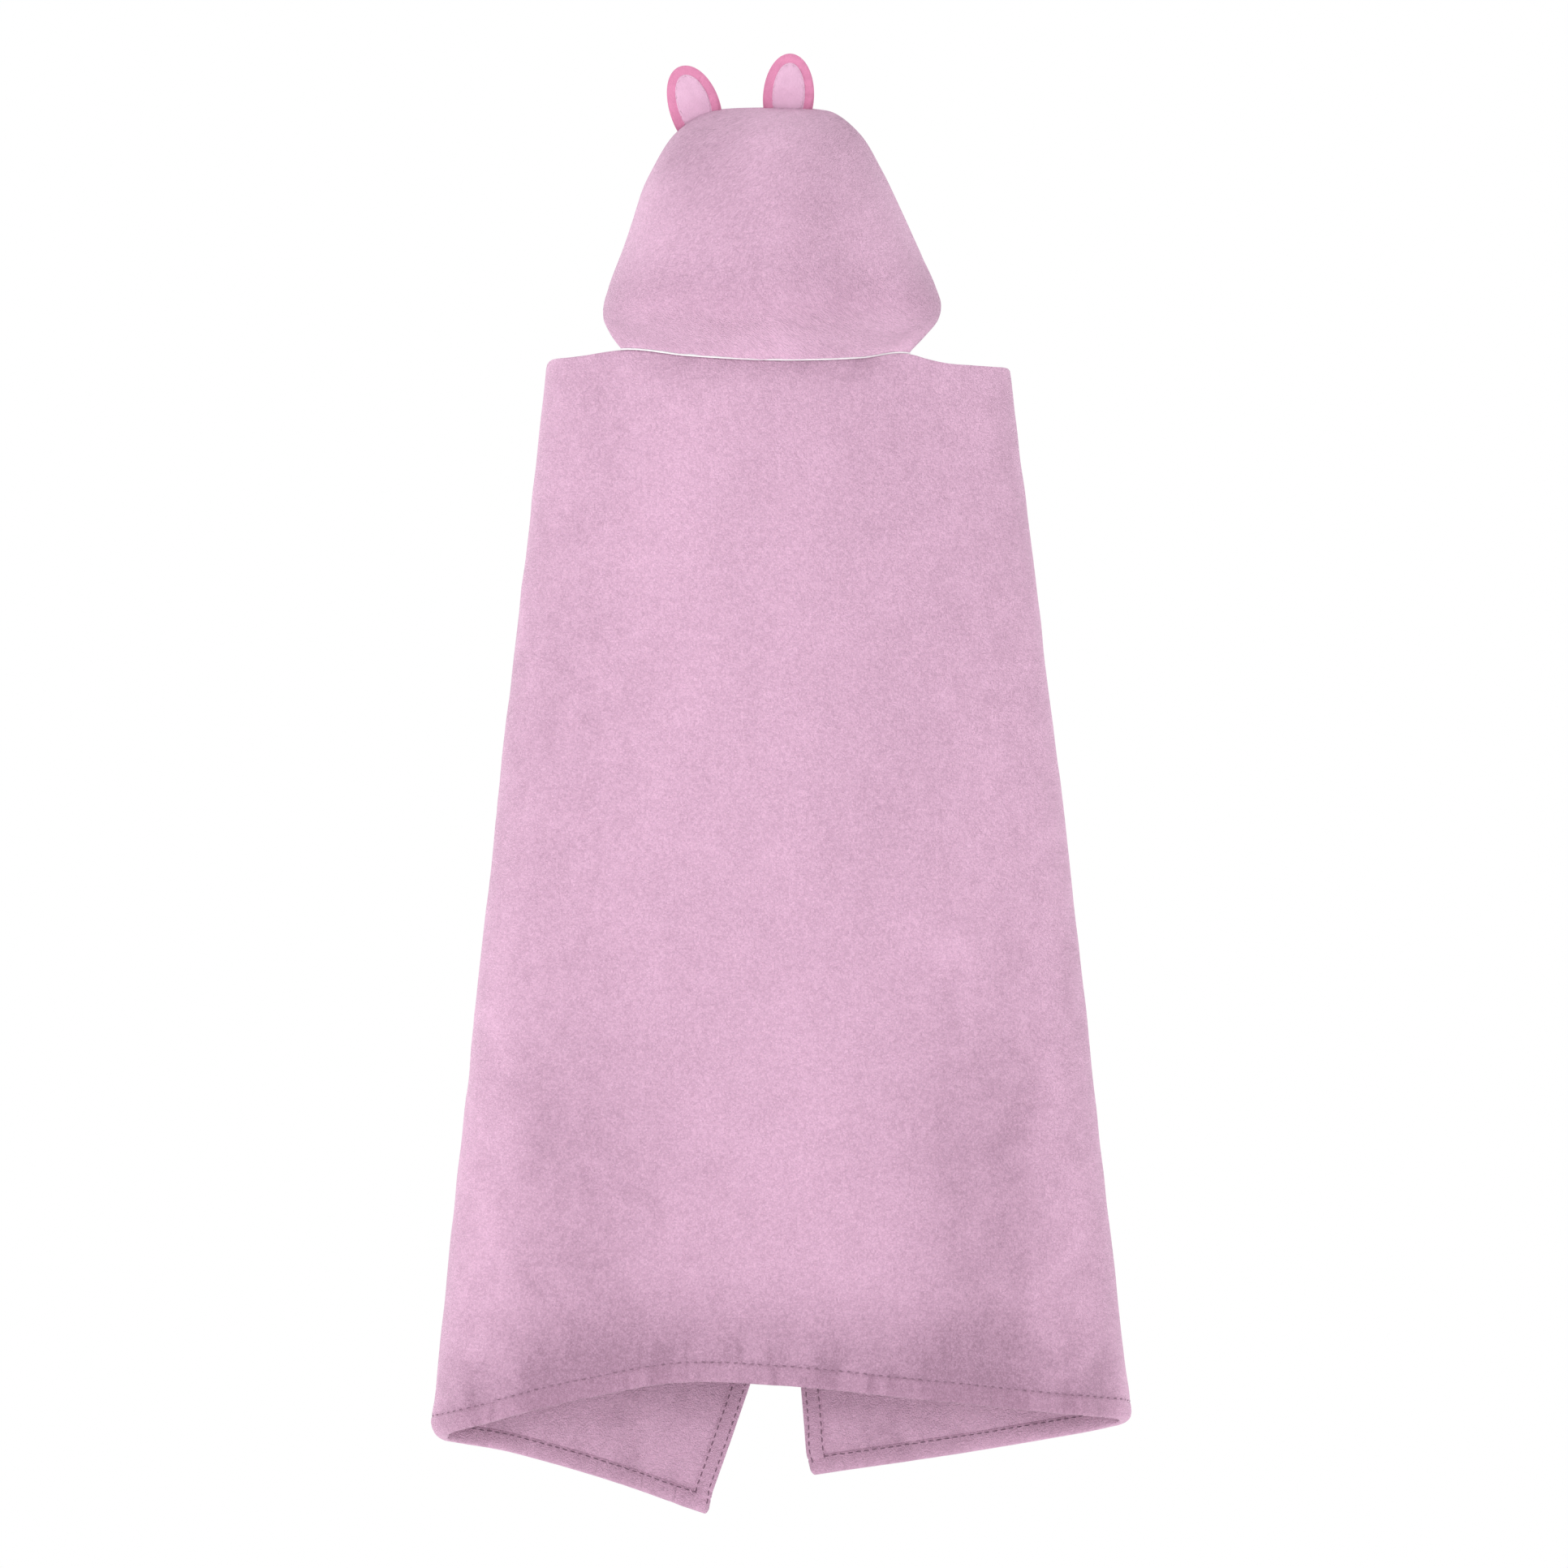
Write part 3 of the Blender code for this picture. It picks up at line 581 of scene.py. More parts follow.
class Shader:
    """A material's nodes, added and joined one after another."""

    def __init__(self, name, roughness, sheen=0.0, specular=0.25):
        self.material = bpy.data.materials.new(name)
        self.material.use_nodes = True
        self.tree = self.material.node_tree
        self.main = self.tree.nodes["Principled BSDF"]
        self.main.inputs["Roughness"].default_value = roughness
        self.main.inputs["Specular IOR Level"].default_value = specular
        self.main.inputs["Sheen Weight"].default_value = sheen
        self.main.inputs["Sheen Roughness"].default_value = 0.45
        coordinates = self.add("ShaderNodeUVMap", uv_map="cloth")
        self.place = coordinates.outputs["UV"]

    def add(self, kind, inputs=(), **settings):
        node = self.tree.nodes.new(kind)
        for key, value in settings.items():
            setattr(node, key, value)
        for key, value in dict(inputs).items():
            if isinstance(value, bpy.types.NodeSocket):
                self.tree.links.new(value, node.inputs[key])
            else:
                node.inputs[key].default_value = value
        return node

    def noise(self, scale, detail=2.0, roughness=0.5, place=None):
        inputs = {"Vector": place or self.place, "Scale": scale, "Detail": detail, "Roughness": roughness}
        return self.add("ShaderNodeTexNoise", inputs).outputs["Fac"]

    def stretched(self, x, y):
        node = self.add("ShaderNodeMapping", {"Vector": self.place, "Scale": (x, y, 1)})
        return node.outputs["Vector"]

    def spread(self, value, low, high, start=0.0, end=1.0):
        """Map a value's range start to end onto low to high."""
        inputs = {"Value": value, "From Min": start, "From Max": end, "To Min": low, "To Max": high}
        return self.add("ShaderNodeMapRange", inputs).outputs["Result"]

    def maths(self, operation, a, b):
        return self.add("ShaderNodeMath", {0: a, 1: b}, operation=operation).outputs[0]

    def vector(self, operation, inputs):
        return self.add("ShaderNodeVectorMath", inputs, operation=operation).outputs[0]

    def bands(self, direction, scale, distortion, detail_scale=1.0):
        """Even stripes over the cloth, a little wavy."""
        inputs = {"Vector": self.place, "Scale": scale, "Distortion": distortion, "Detail": 1.0}
        inputs["Detail Scale"] = detail_scale
        node = self.add("ShaderNodeTexWave", inputs, wave_type="BANDS", bands_direction=direction)
        return node.outputs["Fac"]

    def mix(self, share, a, b, blend="MIX"):
        node = self.add("ShaderNodeMix", {0: share, 6: a, 7: b}, data_type="RGBA", blend_type=blend)
        return node.outputs[2]

    def dye(self, lightness, deep, pale):
        return self.mix(lightness, (*deep, 1), (*pale, 1))

    def tone(self):
        return self.add("ShaderNodeAttribute", attribute_name="tone").outputs["Fac"]

    def finish(self, colour, height, distance):
        """Join up the colour and the bump, whose height is in units of distance."""
        bumped = self.add("ShaderNodeBump", {"Height": height, "Distance": distance})
        self.tree.links.new(colour, self.main.inputs["Base Color"])
        self.tree.links.new(bumped.outputs["Normal"], self.main.inputs["Normal"])
        return self.material


def terry_material(name, deep, pale, grain=1.0):
    """Terry cloth: loops in worn rows and clumps of pile, the colour darkened between the loops as painted
    shade.
    """
    s = Shader(name, roughness=0.92, sheen=0.30, specular=0.15)
    s.main.inputs["Sheen Tint"].default_value = (*[0.5 + 0.5 * c for c in pale], 1)
    wander = s.add("ShaderNodeTexNoise", {"Vector": s.place, "Scale": 210.0, "Detail": 1.0})
    drift = s.vector("ADD", {0: wander.outputs["Color"], 1: (-0.5, -0.5, -0.5)})
    bent = s.vector("ADD", {0: s.place, 1: s.vector("SCALE", {0: drift, "Scale": 0.0016})})
    loops = s.add("ShaderNodeTexVoronoi", {"Vector": bent, "Scale": 640.0 * grain, "Randomness": 0.8})
    loop = s.spread(loops.outputs["Distance"], 1.0, 0.0, 0.0, 0.75)
    random = s.add("ShaderNodeSeparateColor", {"Color": loops.outputs["Color"]}).outputs[0]
    clumps = s.noise(150.0 * grain, 3.0, 0.6)
    nap = s.noise(34.0, 4.0, 0.62)
    drops = s.noise(9.0, 3.0, 0.55, s.stretched(1.0, 0.45))
    lightness = s.tone()
    for value, reach in ((nap, 0.17), (drops, 0.18), (clumps, 0.24), (random, 0.20)):
        lightness = s.maths("ADD", lightness, s.spread(value, -reach, reach))
    colour = s.dye(s.spread(lightness, 0.0, 1.0, -0.5, 1.1), deep, pale)
    # Painted shade in the hollows between the loops.
    hollow = s.spread(loop, 0.80, 1.03)
    shade = s.add("ShaderNodeCombineColor", {0: hollow, 1: hollow, 2: hollow}).outputs[0]
    colour = s.mix(0.8, colour, shade, "MULTIPLY")
    height = s.maths("ADD", loop, s.maths("MULTIPLY", clumps, 1.6))
    return s.finish(colour, height, 0.00075)


def plush_material(name, deep, pale):
    """Short brushed pile: fine hairs lying one way, with marks where it has been stroked."""
    s = Shader(name, roughness=0.80, sheen=0.45, specular=0.2)
    s.main.inputs["Sheen Tint"].default_value = (*[0.4 + 0.6 * c for c in pale], 1)
    hairs = s.noise(1500.0, 2.0, 0.6, s.stretched(1.0, 0.28))
    marks = s.noise(85.0, 3.0, 0.55)
    lightness = s.maths("ADD", s.tone(), s.spread(marks, -0.45, 0.45))
    lightness = s.maths("ADD", lightness, s.spread(hairs, -0.35, 0.35))
    colour = s.dye(s.spread(lightness, 0.0, 1.0), deep, pale)
    return s.finish(colour, s.maths("ADD", hairs, marks), 0.0005)


def woven_material(name, deep, pale, pitch, sheen=0.1, roughness=0.7):
    """Plain weave: crossing threads of one pitch, a little uneven."""
    s = Shader(name, roughness=roughness, sheen=sheen, specular=0.35)
    scale = 0.5 / pitch / math.pi * 1.57
    weave = s.maths("MAXIMUM", *[s.bands(direction, scale, 0.35, 3.0) for direction in ("X", "Y")])
    uneven = s.noise(260.0, 3.0)
    lightness = s.maths("ADD", s.spread(weave, 0.0, 0.75), s.spread(uneven, -0.05, 0.45))
    colour = s.dye(lightness, deep, pale)
    height = s.maths("ADD", weave, s.maths("MULTIPLY", uneven, 0.5))
    return s.finish(colour, height, pitch * 0.3)


def thread_material(name, deep, pale):
    """Sewing thread: plies twisted together."""
    s = Shader(name, roughness=0.55, sheen=0.05, specular=0.4)
    plies = s.bands("DIAGONAL", 700.0, 0.6)
    worn = s.noise(120.0, 2.0)
    lightness = s.maths("ADD", s.spread(plies, 0.0, 0.6), s.spread(worn, -0.1, 0.5))
    return s.finish(s.dye(lightness, deep, pale), plies, 0.0002)


TERRY_PINK = terry_material("pink_terry", (0.345, 0.200, 0.287), (0.797, 0.499, 0.678))
HEM_PINK = terry_material("pink_terry_hem", (0.360, 0.205, 0.296), (0.777, 0.484, 0.658), 1.15)
EAR_ROSE = plush_material("rose_plush", (0.48, 0.155, 0.275), (0.68, 0.255, 0.42))
EAR_PALE = plush_material("pale_pink_plush", (0.55, 0.325, 0.455), (0.70, 0.435, 0.59))
TAPE_WHITE = woven_material("white_cotton_tape", (0.62, 0.56, 0.60), (0.90, 0.87, 0.89), 0.0007)
LABEL_WHITE = woven_material("white_satin_label", (0.70, 0.68, 0.69), (0.93, 0.92, 0.93), 0.0004, 0.15, 0.45)
WADDING_WHITE = terry_material("white_wadding", (0.65, 0.64, 0.63), (0.93, 0.93, 0.92), 0.4)
MAUVE_THREAD = thread_material("mauve_thread", (0.165, 0.085, 0.135), (0.30, 0.165, 0.245))
PINK_THREAD = thread_material("pink_thread", (0.46, 0.255, 0.365), (0.66, 0.40, 0.54))
PALE_THREAD = thread_material("pale_pink_thread", (0.66, 0.38, 0.53), (0.86, 0.58, 0.73))


# ---- Pieces on their bodies ----


def attach(piece, zone):
    """Put a finished piece on its body; a piece of the fold or the neck only has its transform baked into its
    mesh.
    """
    if zone == "fold":
        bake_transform(piece)
    elif zone == "neck":
        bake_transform(piece)
    else:
        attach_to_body(piece, zone)
    return piece


# ---- The towel's cloth ----

# Height of the strip above the lower edge whose rows follow that edge, and about how long the rest is
EDGE_STRIP = 0.05
PLAIN_LENGTH = 0.9
# About how wide each flap and the back are
FLAP_WIDTH = 0.32
BACK_WIDTH = 0.56
# Where the cloth stops inside its hems and where it is whole again, from the folded edge
INSET = 0.0150
LIP_REACH = 0.0197
# Steps between rows, between columns, and between both near a hem
ROW_STEP = 0.0048
COLUMN_STEP = 0.0040
EDGE_STEP = 0.0016


def steps(start, end, step):
    """Even places from start to end, about a step apart."""
    return np.linspace(start, end, max(2, int(round(abs(end - start) / step)) + 1))


def towel_rows():
    """Each row's share of the way down the plain part, and its distance above the lower edge beyond that."""
    rows = np.concatenate([[0, 0.0004, 0.0011, 0.0022, 0.0040], steps(0.0075, PLAIN_LENGTH, ROW_STEP)])
    near = steps(EDGE_STRIP - 0.006, INSET, EDGE_STEP)
    return [(share, EDGE_STRIP) for share in rows / PLAIN_LENGTH] + [(1.0, above) for above in near]


def row_shares(across, row):
    """The row's share of the whole way down, at distances across."""
    share, above = row
    height = cloth_height(across)
    return share * (height - EDGE_STRIP) / height if share < 1 else 1 - above / height


def towel_columns():
    """Places across, as numbers whose whole part says between which of the towel's lines they lie."""
    front = steps(0, 1, EDGE_STEP / INSET)
    widths = enumerate((FLAP_WIDTH, BACK_WIDTH, FLAP_WIDTH), 1)
    plain = [steps(line, line + 1, COLUMN_STEP / width)[1:] for line, width in widths]
    return np.concatenate([front, *plain, 5 - front[::-1][1:]])


def columns_across(columns, share):
    """Distances across of all columns at one share: fixed by the front edges and the two side folds."""
    left, right = front_edge(-1, share), front_edge(1, share)
    folds = [fold_across(side, share) for side in (-1, 1)]
    lines = [left + INSET, left + 2 * INSET, *folds, right - 2 * INSET, right - INSET]
    return np.interp(columns, np.arange(6), lines)


def hem_lip(distance):
    """Share of the cloth's thickness where it goes into a hem."""
    return 0.35 + 0.65 * ease((distance - INSET) / (LIP_REACH - INSET))


def make_towel():
    """The whole cloth in two meshes that meet on the back near the left fold."""
    columns = towel_columns()
    across, share = [], []
    for row in towel_rows():
        shares = np.full(len(columns), row[0])
        for _ in range(2):
            places = np.array([columns_across(c, s) for c, s in zip(columns, shares)])
            shares = row_shares(places, row)
        across.append(places)
        share.append(shares)
    across, share = np.array(across), np.array(share)
    height = cloth_height(across)
    middle, out = cloth_frame(across, share)
    thickness = lip(share * height, 0.0022) * hem_lip((1 - share) * height)
    for side in (-1, 1):
        thickness = thickness * hem_lip(side * (front_edge(side, share) - across))
    half = (TERRY / 2 * thickness)[..., None]
    outer, inner = middle + out * half, middle - out * half
    normals = [grid_normals(outer), -grid_normals(inner)]
    if np.dot(normals[0][20, 20], out[20, 20]) < 0:
        normals = [-n for n in normals]
    uv = stacked(across, cloth_down(across, share))
    tone = tone_and_painted_light_at(across, share)
    split = int(np.argmin(np.abs(across[0] - fold_across(-1, 0.0) - FLAP_MARGIN)))
    made = []
    for name, part in (("outer_flap", slice(0, split + 1)), ("back_and_inner_flap", slice(split, None))):
        parts = [grid[:, part] for grid in (outer, inner, uv, tone)]
        facing = [n[:, part] for n in normals]
        made.append(closed_sheet(f"towel_{name}", *parts[:2], TERRY_PINK, *parts[2:], facing))
    return *made, across[:, split], share[:, split]


# ---- Hems: the edge turned in twice, a flat roll with a crowned face ----


def hem_depth(inward):
    """How far the turned-in layers stand off the cloth's inner face: less where they are sewn down."""
    return HEM_DEPTH * (1 - 0.74 * ease((inward / HEM_WIDTH - 0.35) / 0.60))


def inside_face(inward):
    """Where the inner face of a hem lies, from the middle of the cloth."""
    return -TERRY / 2 - hem_depth(inward)


def hem_section(count=32):
    """The roll's outline: places from the folded edge inward, and outward from the cloth's middle."""
    turn = np.linspace(0, 2 * math.pi, count, endpoint=False)
    inward = HEM_WIDTH / 2 * (1 - power(np.cos(turn), 0.55))
    low, high = inside_face(inward), TERRY / 2 + 0.0005
    outward = (low + high) / 2 + (high - low) / 2 * power(np.sin(turn), 0.62)
    return inward, outward


def capped(grid):
    """Draw both ends of a row of rings in, so that they close softly."""
    count = len(grid)
    shrunk = grid.copy()
    centres = grid.mean(axis=1, keepdims=True)
    for k in range(4):
        share = math.sqrt(1 - (1 - (k + 0.5) / 4.5) ** 2)
        for at in (k, count - 1 - k):
            shrunk[at] = centres[at] + (grid[at] - centres[at]) * share
    return shrunk


def end_dense(start, end, step, fine=0.0009):
    """Places along a hem, closer together at its two ends."""
    inner = steps(start + 4 * fine, end - 4 * fine, step)
    head = start + fine * np.arange(4)
    tail = end - fine * np.arange(4)[::-1]
    return np.concatenate([head, inner, tail])


def hem_piece(part, across, share, outward, slant, cut, zone):
    """A hem through its cross sections: a free end closes softly, and a cut end meets the next mesh."""
    middle, out = cloth_frame(across, share)
    rings = middle + out * outward[:, None]
    closed = capped(rings)
    for end, kept in zip(cut, (slice(0, 5), slice(-5, None))):
        if end:
            closed[kept] = rings[kept]
    uv = stacked(across, cloth_down(across, share)) + outward[:, None] * slant
    piece = ring_tube(f"rolled_hem_{part}", closed, HEM_PINK, uv, tone_and_painted_light_at(across, share))
    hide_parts(f"hem_{part}")
    return attach(piece, zone)


def bottom_hem(part, start, end, zone, cut):
    """A hem along the lower edge between two places across."""
    inward, outward = hem_section()
    across = end_dense(start, end, 0.0022)[:, None] + 0 * inward
    return hem_piece(part, across, 1 - inward / cloth_height(across), outward, (0, 0.5), cut, zone)


def front_hem(part, side, zone):
    """A hem down a flap's front edge, from the upper edge to the lower hem."""
    inward, outward = hem_section()
    height = cloth_height(front_edge(side, 1.0))
    share = end_dense(0.0006 / height, 1 - (HEM_WIDTH - 0.0055) / height, 0.0026 / height, 0.0009 / height)
    share = share[:, None] + 0 * inward
    across = front_edge(side, share) - side * inward
    return hem_piece(part, across, share, outward, (0.5, 0), (False, False), zone)


def top_hem(part, start, end, zone, cut):
    """The strip turned in along the upper edge, on the inside only."""
    turn = np.linspace(0, 2 * math.pi, 24, endpoint=False)
    inward = 0.0012 + (HEM_WIDTH - 0.0012) / 2 * (1 - power(np.cos(turn), 0.5))
    outward = 0.0001 - TERRY / 2 - hem_depth(inward) / 2 * (1 - power(np.sin(turn), 0.7))
    across = end_dense(start, end, 0.0030)[:, None] + 0 * inward
    return hem_piece(part, across, inward / cloth_height(across), outward, (0, 0.5), cut, zone)


# ---- Stitches ----


def stitches(name, points, normals, material, zone=None):
    """Separate stitches along a line of points, each a short thread whose ends go into the cloth."""
    length = run_length(points)
    count = int((length[-1] - STITCH_LENGTH) / STITCH_PITCH)
    rings, sides = 6, 6
    reach = np.linspace(0, 1, rings)
    places = STITCH_PITCH * (np.arange(count) + 0.4)[:, None] + STITCH_LENGTH * reach
    centre, normal = [
        stacked(*[np.interp(places, length, channel) for channel in values.T])
        for values in (points, normals)
    ]
    normal = unit(normal)
    aside = np.cross(unit(np.gradient(centre, axis=1)), normal)
    rise = THREAD_RADIUS * (1.5 * np.sin(math.pi * reach) ** 0.6 - 0.9)
    radius = THREAD_RADIUS * (0.45 + 0.55 * np.sin(math.pi * np.clip(reach, 0.02, 0.98)) ** 0.5)
    solid, turn = round_line(centre + normal * rise[:, None], aside, normal, radius, sides)
    index = np.arange(count * rings * sides).reshape(count, rings, sides)
    after = np.roll(index, -1, axis=2)
    quads = stacked(index[:, :-1], index[:, 1:], after[:, 1:], after[:, :-1]).reshape(-1, 4)
    faces = quads.tolist() + index[:, 0].tolist() + index[:, -1, ::-1].tolist()
    uv = stacked(places[:, :, None], turn * THREAD_RADIUS).reshape(-1, 2)
    made = mesh_object(name, solid.reshape(-1, 3), faces, material, uv)
    return attach(made, zone) if zone else made


def cloth_line(across, share, offset):
    """A line on one face of the cloth: its points and the normals that point off that face."""
    middle, out = cloth_frame(across, share)
    return middle + out * offset, out * math.copysign(1, offset)


# How far a row of stitches on the outside lies from the cloth's middle, drawn in a little
GROOVE = TERRY / 2 - 0.0006
# Distances from a hem's folded edge to the row that sews it down and to the row close to its edge
SEWN_AT = HEM_WIDTH - 0.003
EDGE_ROW = 0.0042
# Rows of stitches: face, distance from the folded edge, and outward from the cloth's middle
HEM_ROWS = (("outside", HEM_WIDTH, GROOVE), ("inside", SEWN_AT, inside_face(SEWN_AT)))
EDGE_ROWS = (
    ("outside_edge", EDGE_ROW, TERRY / 2 + 0.0003),
    ("inside_edge", EDGE_ROW, inside_face(EDGE_ROW)),
)


def bottom_stitches(part, start, end, zone):
    across = steps(start, end, 0.002)
    height = cloth_height(across)
    for face, above, offset in HEM_ROWS:
        line = cloth_line(across, 1 - above / height, offset)
        stitches(f"stitches_bottom_{part}_{face}", *line, MAUVE_THREAD, zone)


def front_stitches(part, side, zone):
    share = steps(0.003, 0.996, 0.002)
    for face, inside, offset in HEM_ROWS + EDGE_ROWS:
        line = cloth_line(front_edge(side, share) - side * inside, share, offset)
        stitches(f"stitches_front_{part}_{face}", *line, MAUVE_THREAD, zone)


def top_stitches(part, start, end, zone):
    across = steps(start, end, 0.002)
    line = cloth_line(across, SEWN_AT / cloth_height(across), inside_face(SEWN_AT) + 0.0002)
    stitches(f"stitches_top_{part}_inside", *line, PINK_THREAD, zone)


def make_hems(split_across, split_share):
    """All hems and their stitches. The hems that cross the meshes' meeting line are cut there."""
    bottom_cut, top_cut = np.interp(1.0, split_share, split_across), split_across[0]
    left, right = CLOTH_LEFT + 0.0002, CLOTH_RIGHT - 0.0002
    outer = bottom_hem("bottom_outer", left, bottom_cut, "fold", (False, True))
    back = bottom_hem("bottom_back", bottom_cut, BOTTOM_HEMS_MEET, "towel", (True, True))
    inner = bottom_hem("bottom_inner", BOTTOM_HEMS_MEET, right, "towel", (True, False))
    bottom_stitches("outer", left + 0.004, bottom_cut, "fold")
    bottom_stitches("back", bottom_cut, right - 0.004, "towel")
    for part, side, zone in (("outer", -1, "outer_flap"), ("inner", 1, "towel")):
        front_hem(f"front_{part}", side, zone)
        front_stitches(part, side, zone)
    reach = HEM_WIDTH - 0.001
    left, right = front_edge(-1, 0.01) + reach, front_edge(1, 0.01) - reach
    flap_top = top_hem("top_outer", left, top_cut, "fold", (False, True))
    shoulder_left = top_hem("shoulder_left", top_cut, NECK_LEFT - 0.002, "towel", (True, False))
    shoulder_right = top_hem("shoulder_right", NECK_RIGHT + 0.002, TOP_HEMS_MEET, "towel", (False, True))
    inner_top = top_hem("top_inner", TOP_HEMS_MEET, right, "towel", (True, False))
    top_stitches("outer", left + 0.003, top_cut, "fold")
    top_stitches("shoulder_left", top_cut, NECK_LEFT - 0.004, "towel")
    top_stitches("inner", NECK_RIGHT + 0.004, right - 0.003, "towel")
    return [outer, flap_top], [back, inner, shoulder_left, shoulder_right, inner_top]


# ---- The hood ----


def chord_places(points):
    """Each point's share of the way along the polyline."""
    places = run_length(points)
    return places / places[-1]


OUTLINE_PLACES = chord_places(HOOD_OUTLINE)
WIDTH_KNOTS = [(p, w) for p, (w, z) in zip(OUTLINE_PLACES, HOOD_OUTLINE)]
HEIGHT_KNOTS = [(p, z) for p, (w, z) in zip(OUTLINE_PLACES, HOOD_OUTLINE)]
BACK_REACH = OUTLINE_PLACES[CROWN_CORNER]


def arch_y(height):
    """How far forward the arch seam runs at a height: back at the neck, forward from the cheeks up."""
    return ARCH_BACK + (ARCH_FRONT - ARCH_BACK) * ease(height / ARCH_RISE)


def neck_point(a):
    """A place on the neck seam, from its left end at -1 to its right end at 1."""
    across = NECK_LEFT + (NECK_RIGHT - NECK_LEFT) * (a + 1) / 2
    return wrap_point(across, upper_edge(across) - SEAM_GAP)


def hood_form(a, b):
    """The hood's rounded back, before its lower edge is drawn in to the neck seam."""
    width, height = value_at(WIDTH_KNOTS, b * BACK_REACH), value_at(HEIGHT_KNOTS, b * BACK_REACH)
    turn = a * math.pi / 2
    bow = NECK_BOW + (CROWN_BOW - NECK_BOW) * b
    depth = value_at(HOOD_DEPTH, height)
    exponent = 2 / OVAL_POWER
    x = value_at(HOOD_MIDDLE, height) + width * power(np.sin(turn), exponent)
    y = arch_y(height) - depth * np.abs(np.cos(turn)) ** exponent
    return stacked(x, y, height + bow * (1 - a * a))


def hood_back_point(a, b):
    """The back of the hood: a runs from side to side, -1 to 1, b from the neck seam to the crown, 0 to 1."""
    a, b = arrays(a, b)
    pull = 1 - ease(b / 0.22)
    return hood_form(a, b) + (neck_point(a) - hood_form(a, b * 0)) * pull[..., None]


def hood_wrinkles(x, z):
    """Soft dents of an empty hood, and small gathers above the neck seam."""
    dents = 0.0024 * noise(x / 0.075 + 3, z / 0.085, 31) + 0.0010 * noise(x / 0.030, z / 0.040, 32)
    rumples = 0.0004 * noise(x / 0.014, z / 0.018, 33)
    gathers = 0.0008 * noise(x / 0.011, z / 0.06, 34) * bump(z, 0.024)
    drape = 0.0016 * bump((x + 0.085) * 0.8 - (z - 0.10) * 0.55, 0.012) * bump(z - 0.10, 0.05)
    drape -= 0.0015 * bump((x - 0.080) * 0.8 + (z - 0.085) * 0.50, 0.012) * bump(z - 0.085, 0.045)
    return dents + rumples + gathers + drape


# The hood's lightness: random tone with painted light and shade laid over it.
def hood_tone_and_painted_light(x, y, z):
    tone = 0.47 + 0.12 * noise(x / 0.06 + 9, z / 0.07, 41) + 0.05 * noise(x / 0.02, z / 0.02 + y / 0.02, 42)
    # Painted highlight along the hood's left side.
    tone += 0.20 * bump(x + 0.130, 0.030)
    # Painted shade on the upper left of the hood, and a little darker right of the middle.
    tone -= 0.28 * bump(x + 0.075, 0.040) * bump(z - 0.195, 0.045)
    tone -= 0.08 * bump(x - 0.045, 0.025) * bump(z - 0.160, 0.060)
    # Paler towards the right; a painted band of light low on the hood and painted shade just above it even
    # out the shading of its lower part.
    tone += 0.18 * bump(x - 0.110, 0.040) + 0.26 * bump(z - 0.030, 0.014) - 0.22 * bump(z - 0.066, 0.024)
    return np.clip(tone, 0, 1)


def from_ends(count, crowding=1.6):
    """Shares from 0 to 1, closer together at both ends."""
    t = np.linspace(-1, 1, count)
    return (1 + np.sign(t) * (1 - (1 - np.abs(t)) ** crowding)) / 2


def edge_distance(grid):
    """Distance of each grid point from the grid's four edges, along its rows and columns."""
    found = []
    for axis in (0, 1):
        chord = np.linalg.norm(np.diff(grid, axis=axis), axis=2)
        run = np.cumsum(chord, axis=axis)
        zero = np.zeros_like(np.take(run, [0], axis=axis))
        run = np.concatenate([zero, run], axis=axis)
        total = np.take(run, [-1], axis=axis)
        found += [run, total - run]
    return found


def hood_normals(grid):
    """Unit normals of a grid on the hood, pointing away from the head."""
    normal = grid_normals(grid)
    spot = (grid.shape[0] // 2, grid.shape[1] // 2)
    return normal * np.sign(np.dot(normal[spot], grid[spot] - HEAD_MIDDLE))


def hood_panel(name, grid, thickness, start):
    """A panel of the hood from its middle surface and its thickness. start sets its cloth's pattern apart."""
    half = hood_normals(grid) * (thickness / 2)[..., None]
    down, _, across, _ = edge_distance(grid)
    uv = stacked(across + start, down)
    tone = hood_tone_and_painted_light(*np.moveaxis(grid, -1, 0))
    panel = closed_sheet(name, grid + half, grid - half, TERRY_PINK, uv, tone)
    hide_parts(f"{name}_panel")
    return attach(panel, "neck")


def dented(grid):
    """The grid moved along its normals by the hood's wrinkles, least at the seam over the crown."""
    far = np.min(edge_distance(grid)[1:], axis=0)
    dents = hood_wrinkles(grid[..., 0], grid[..., 2]) * ease(far / 0.03)
    return grid + hood_normals(grid) * dents[..., None]


def make_hood_back():
    rows, columns = from_ends(150), 2 * from_ends(190) - 1
    grid = dented(hood_back_point(columns[None, :], rows[:, None]))
    bottom, *others = edge_distance(grid)
    thickness = TERRY * lip(bottom, 0.0020)
    for run in others:
        thickness = thickness * lip(run, 0.0026)
    return hood_panel("hood_back", grid, thickness, 2.0)


def arch_line(count=90):
    """The seam over the hood, from the left cheek over the crown to the right cheek."""
    side = ARCH_START + (1 - ARCH_START) * np.linspace(0, 1, count)
    across = 2 * np.linspace(0, 1, count) - 1
    a = np.concatenate([np.full(count, -1.0), across[1:-1], np.full(count, 1.0)])
    b = np.concatenate([side, np.ones(count - 2), side[::-1]])
    return a, b


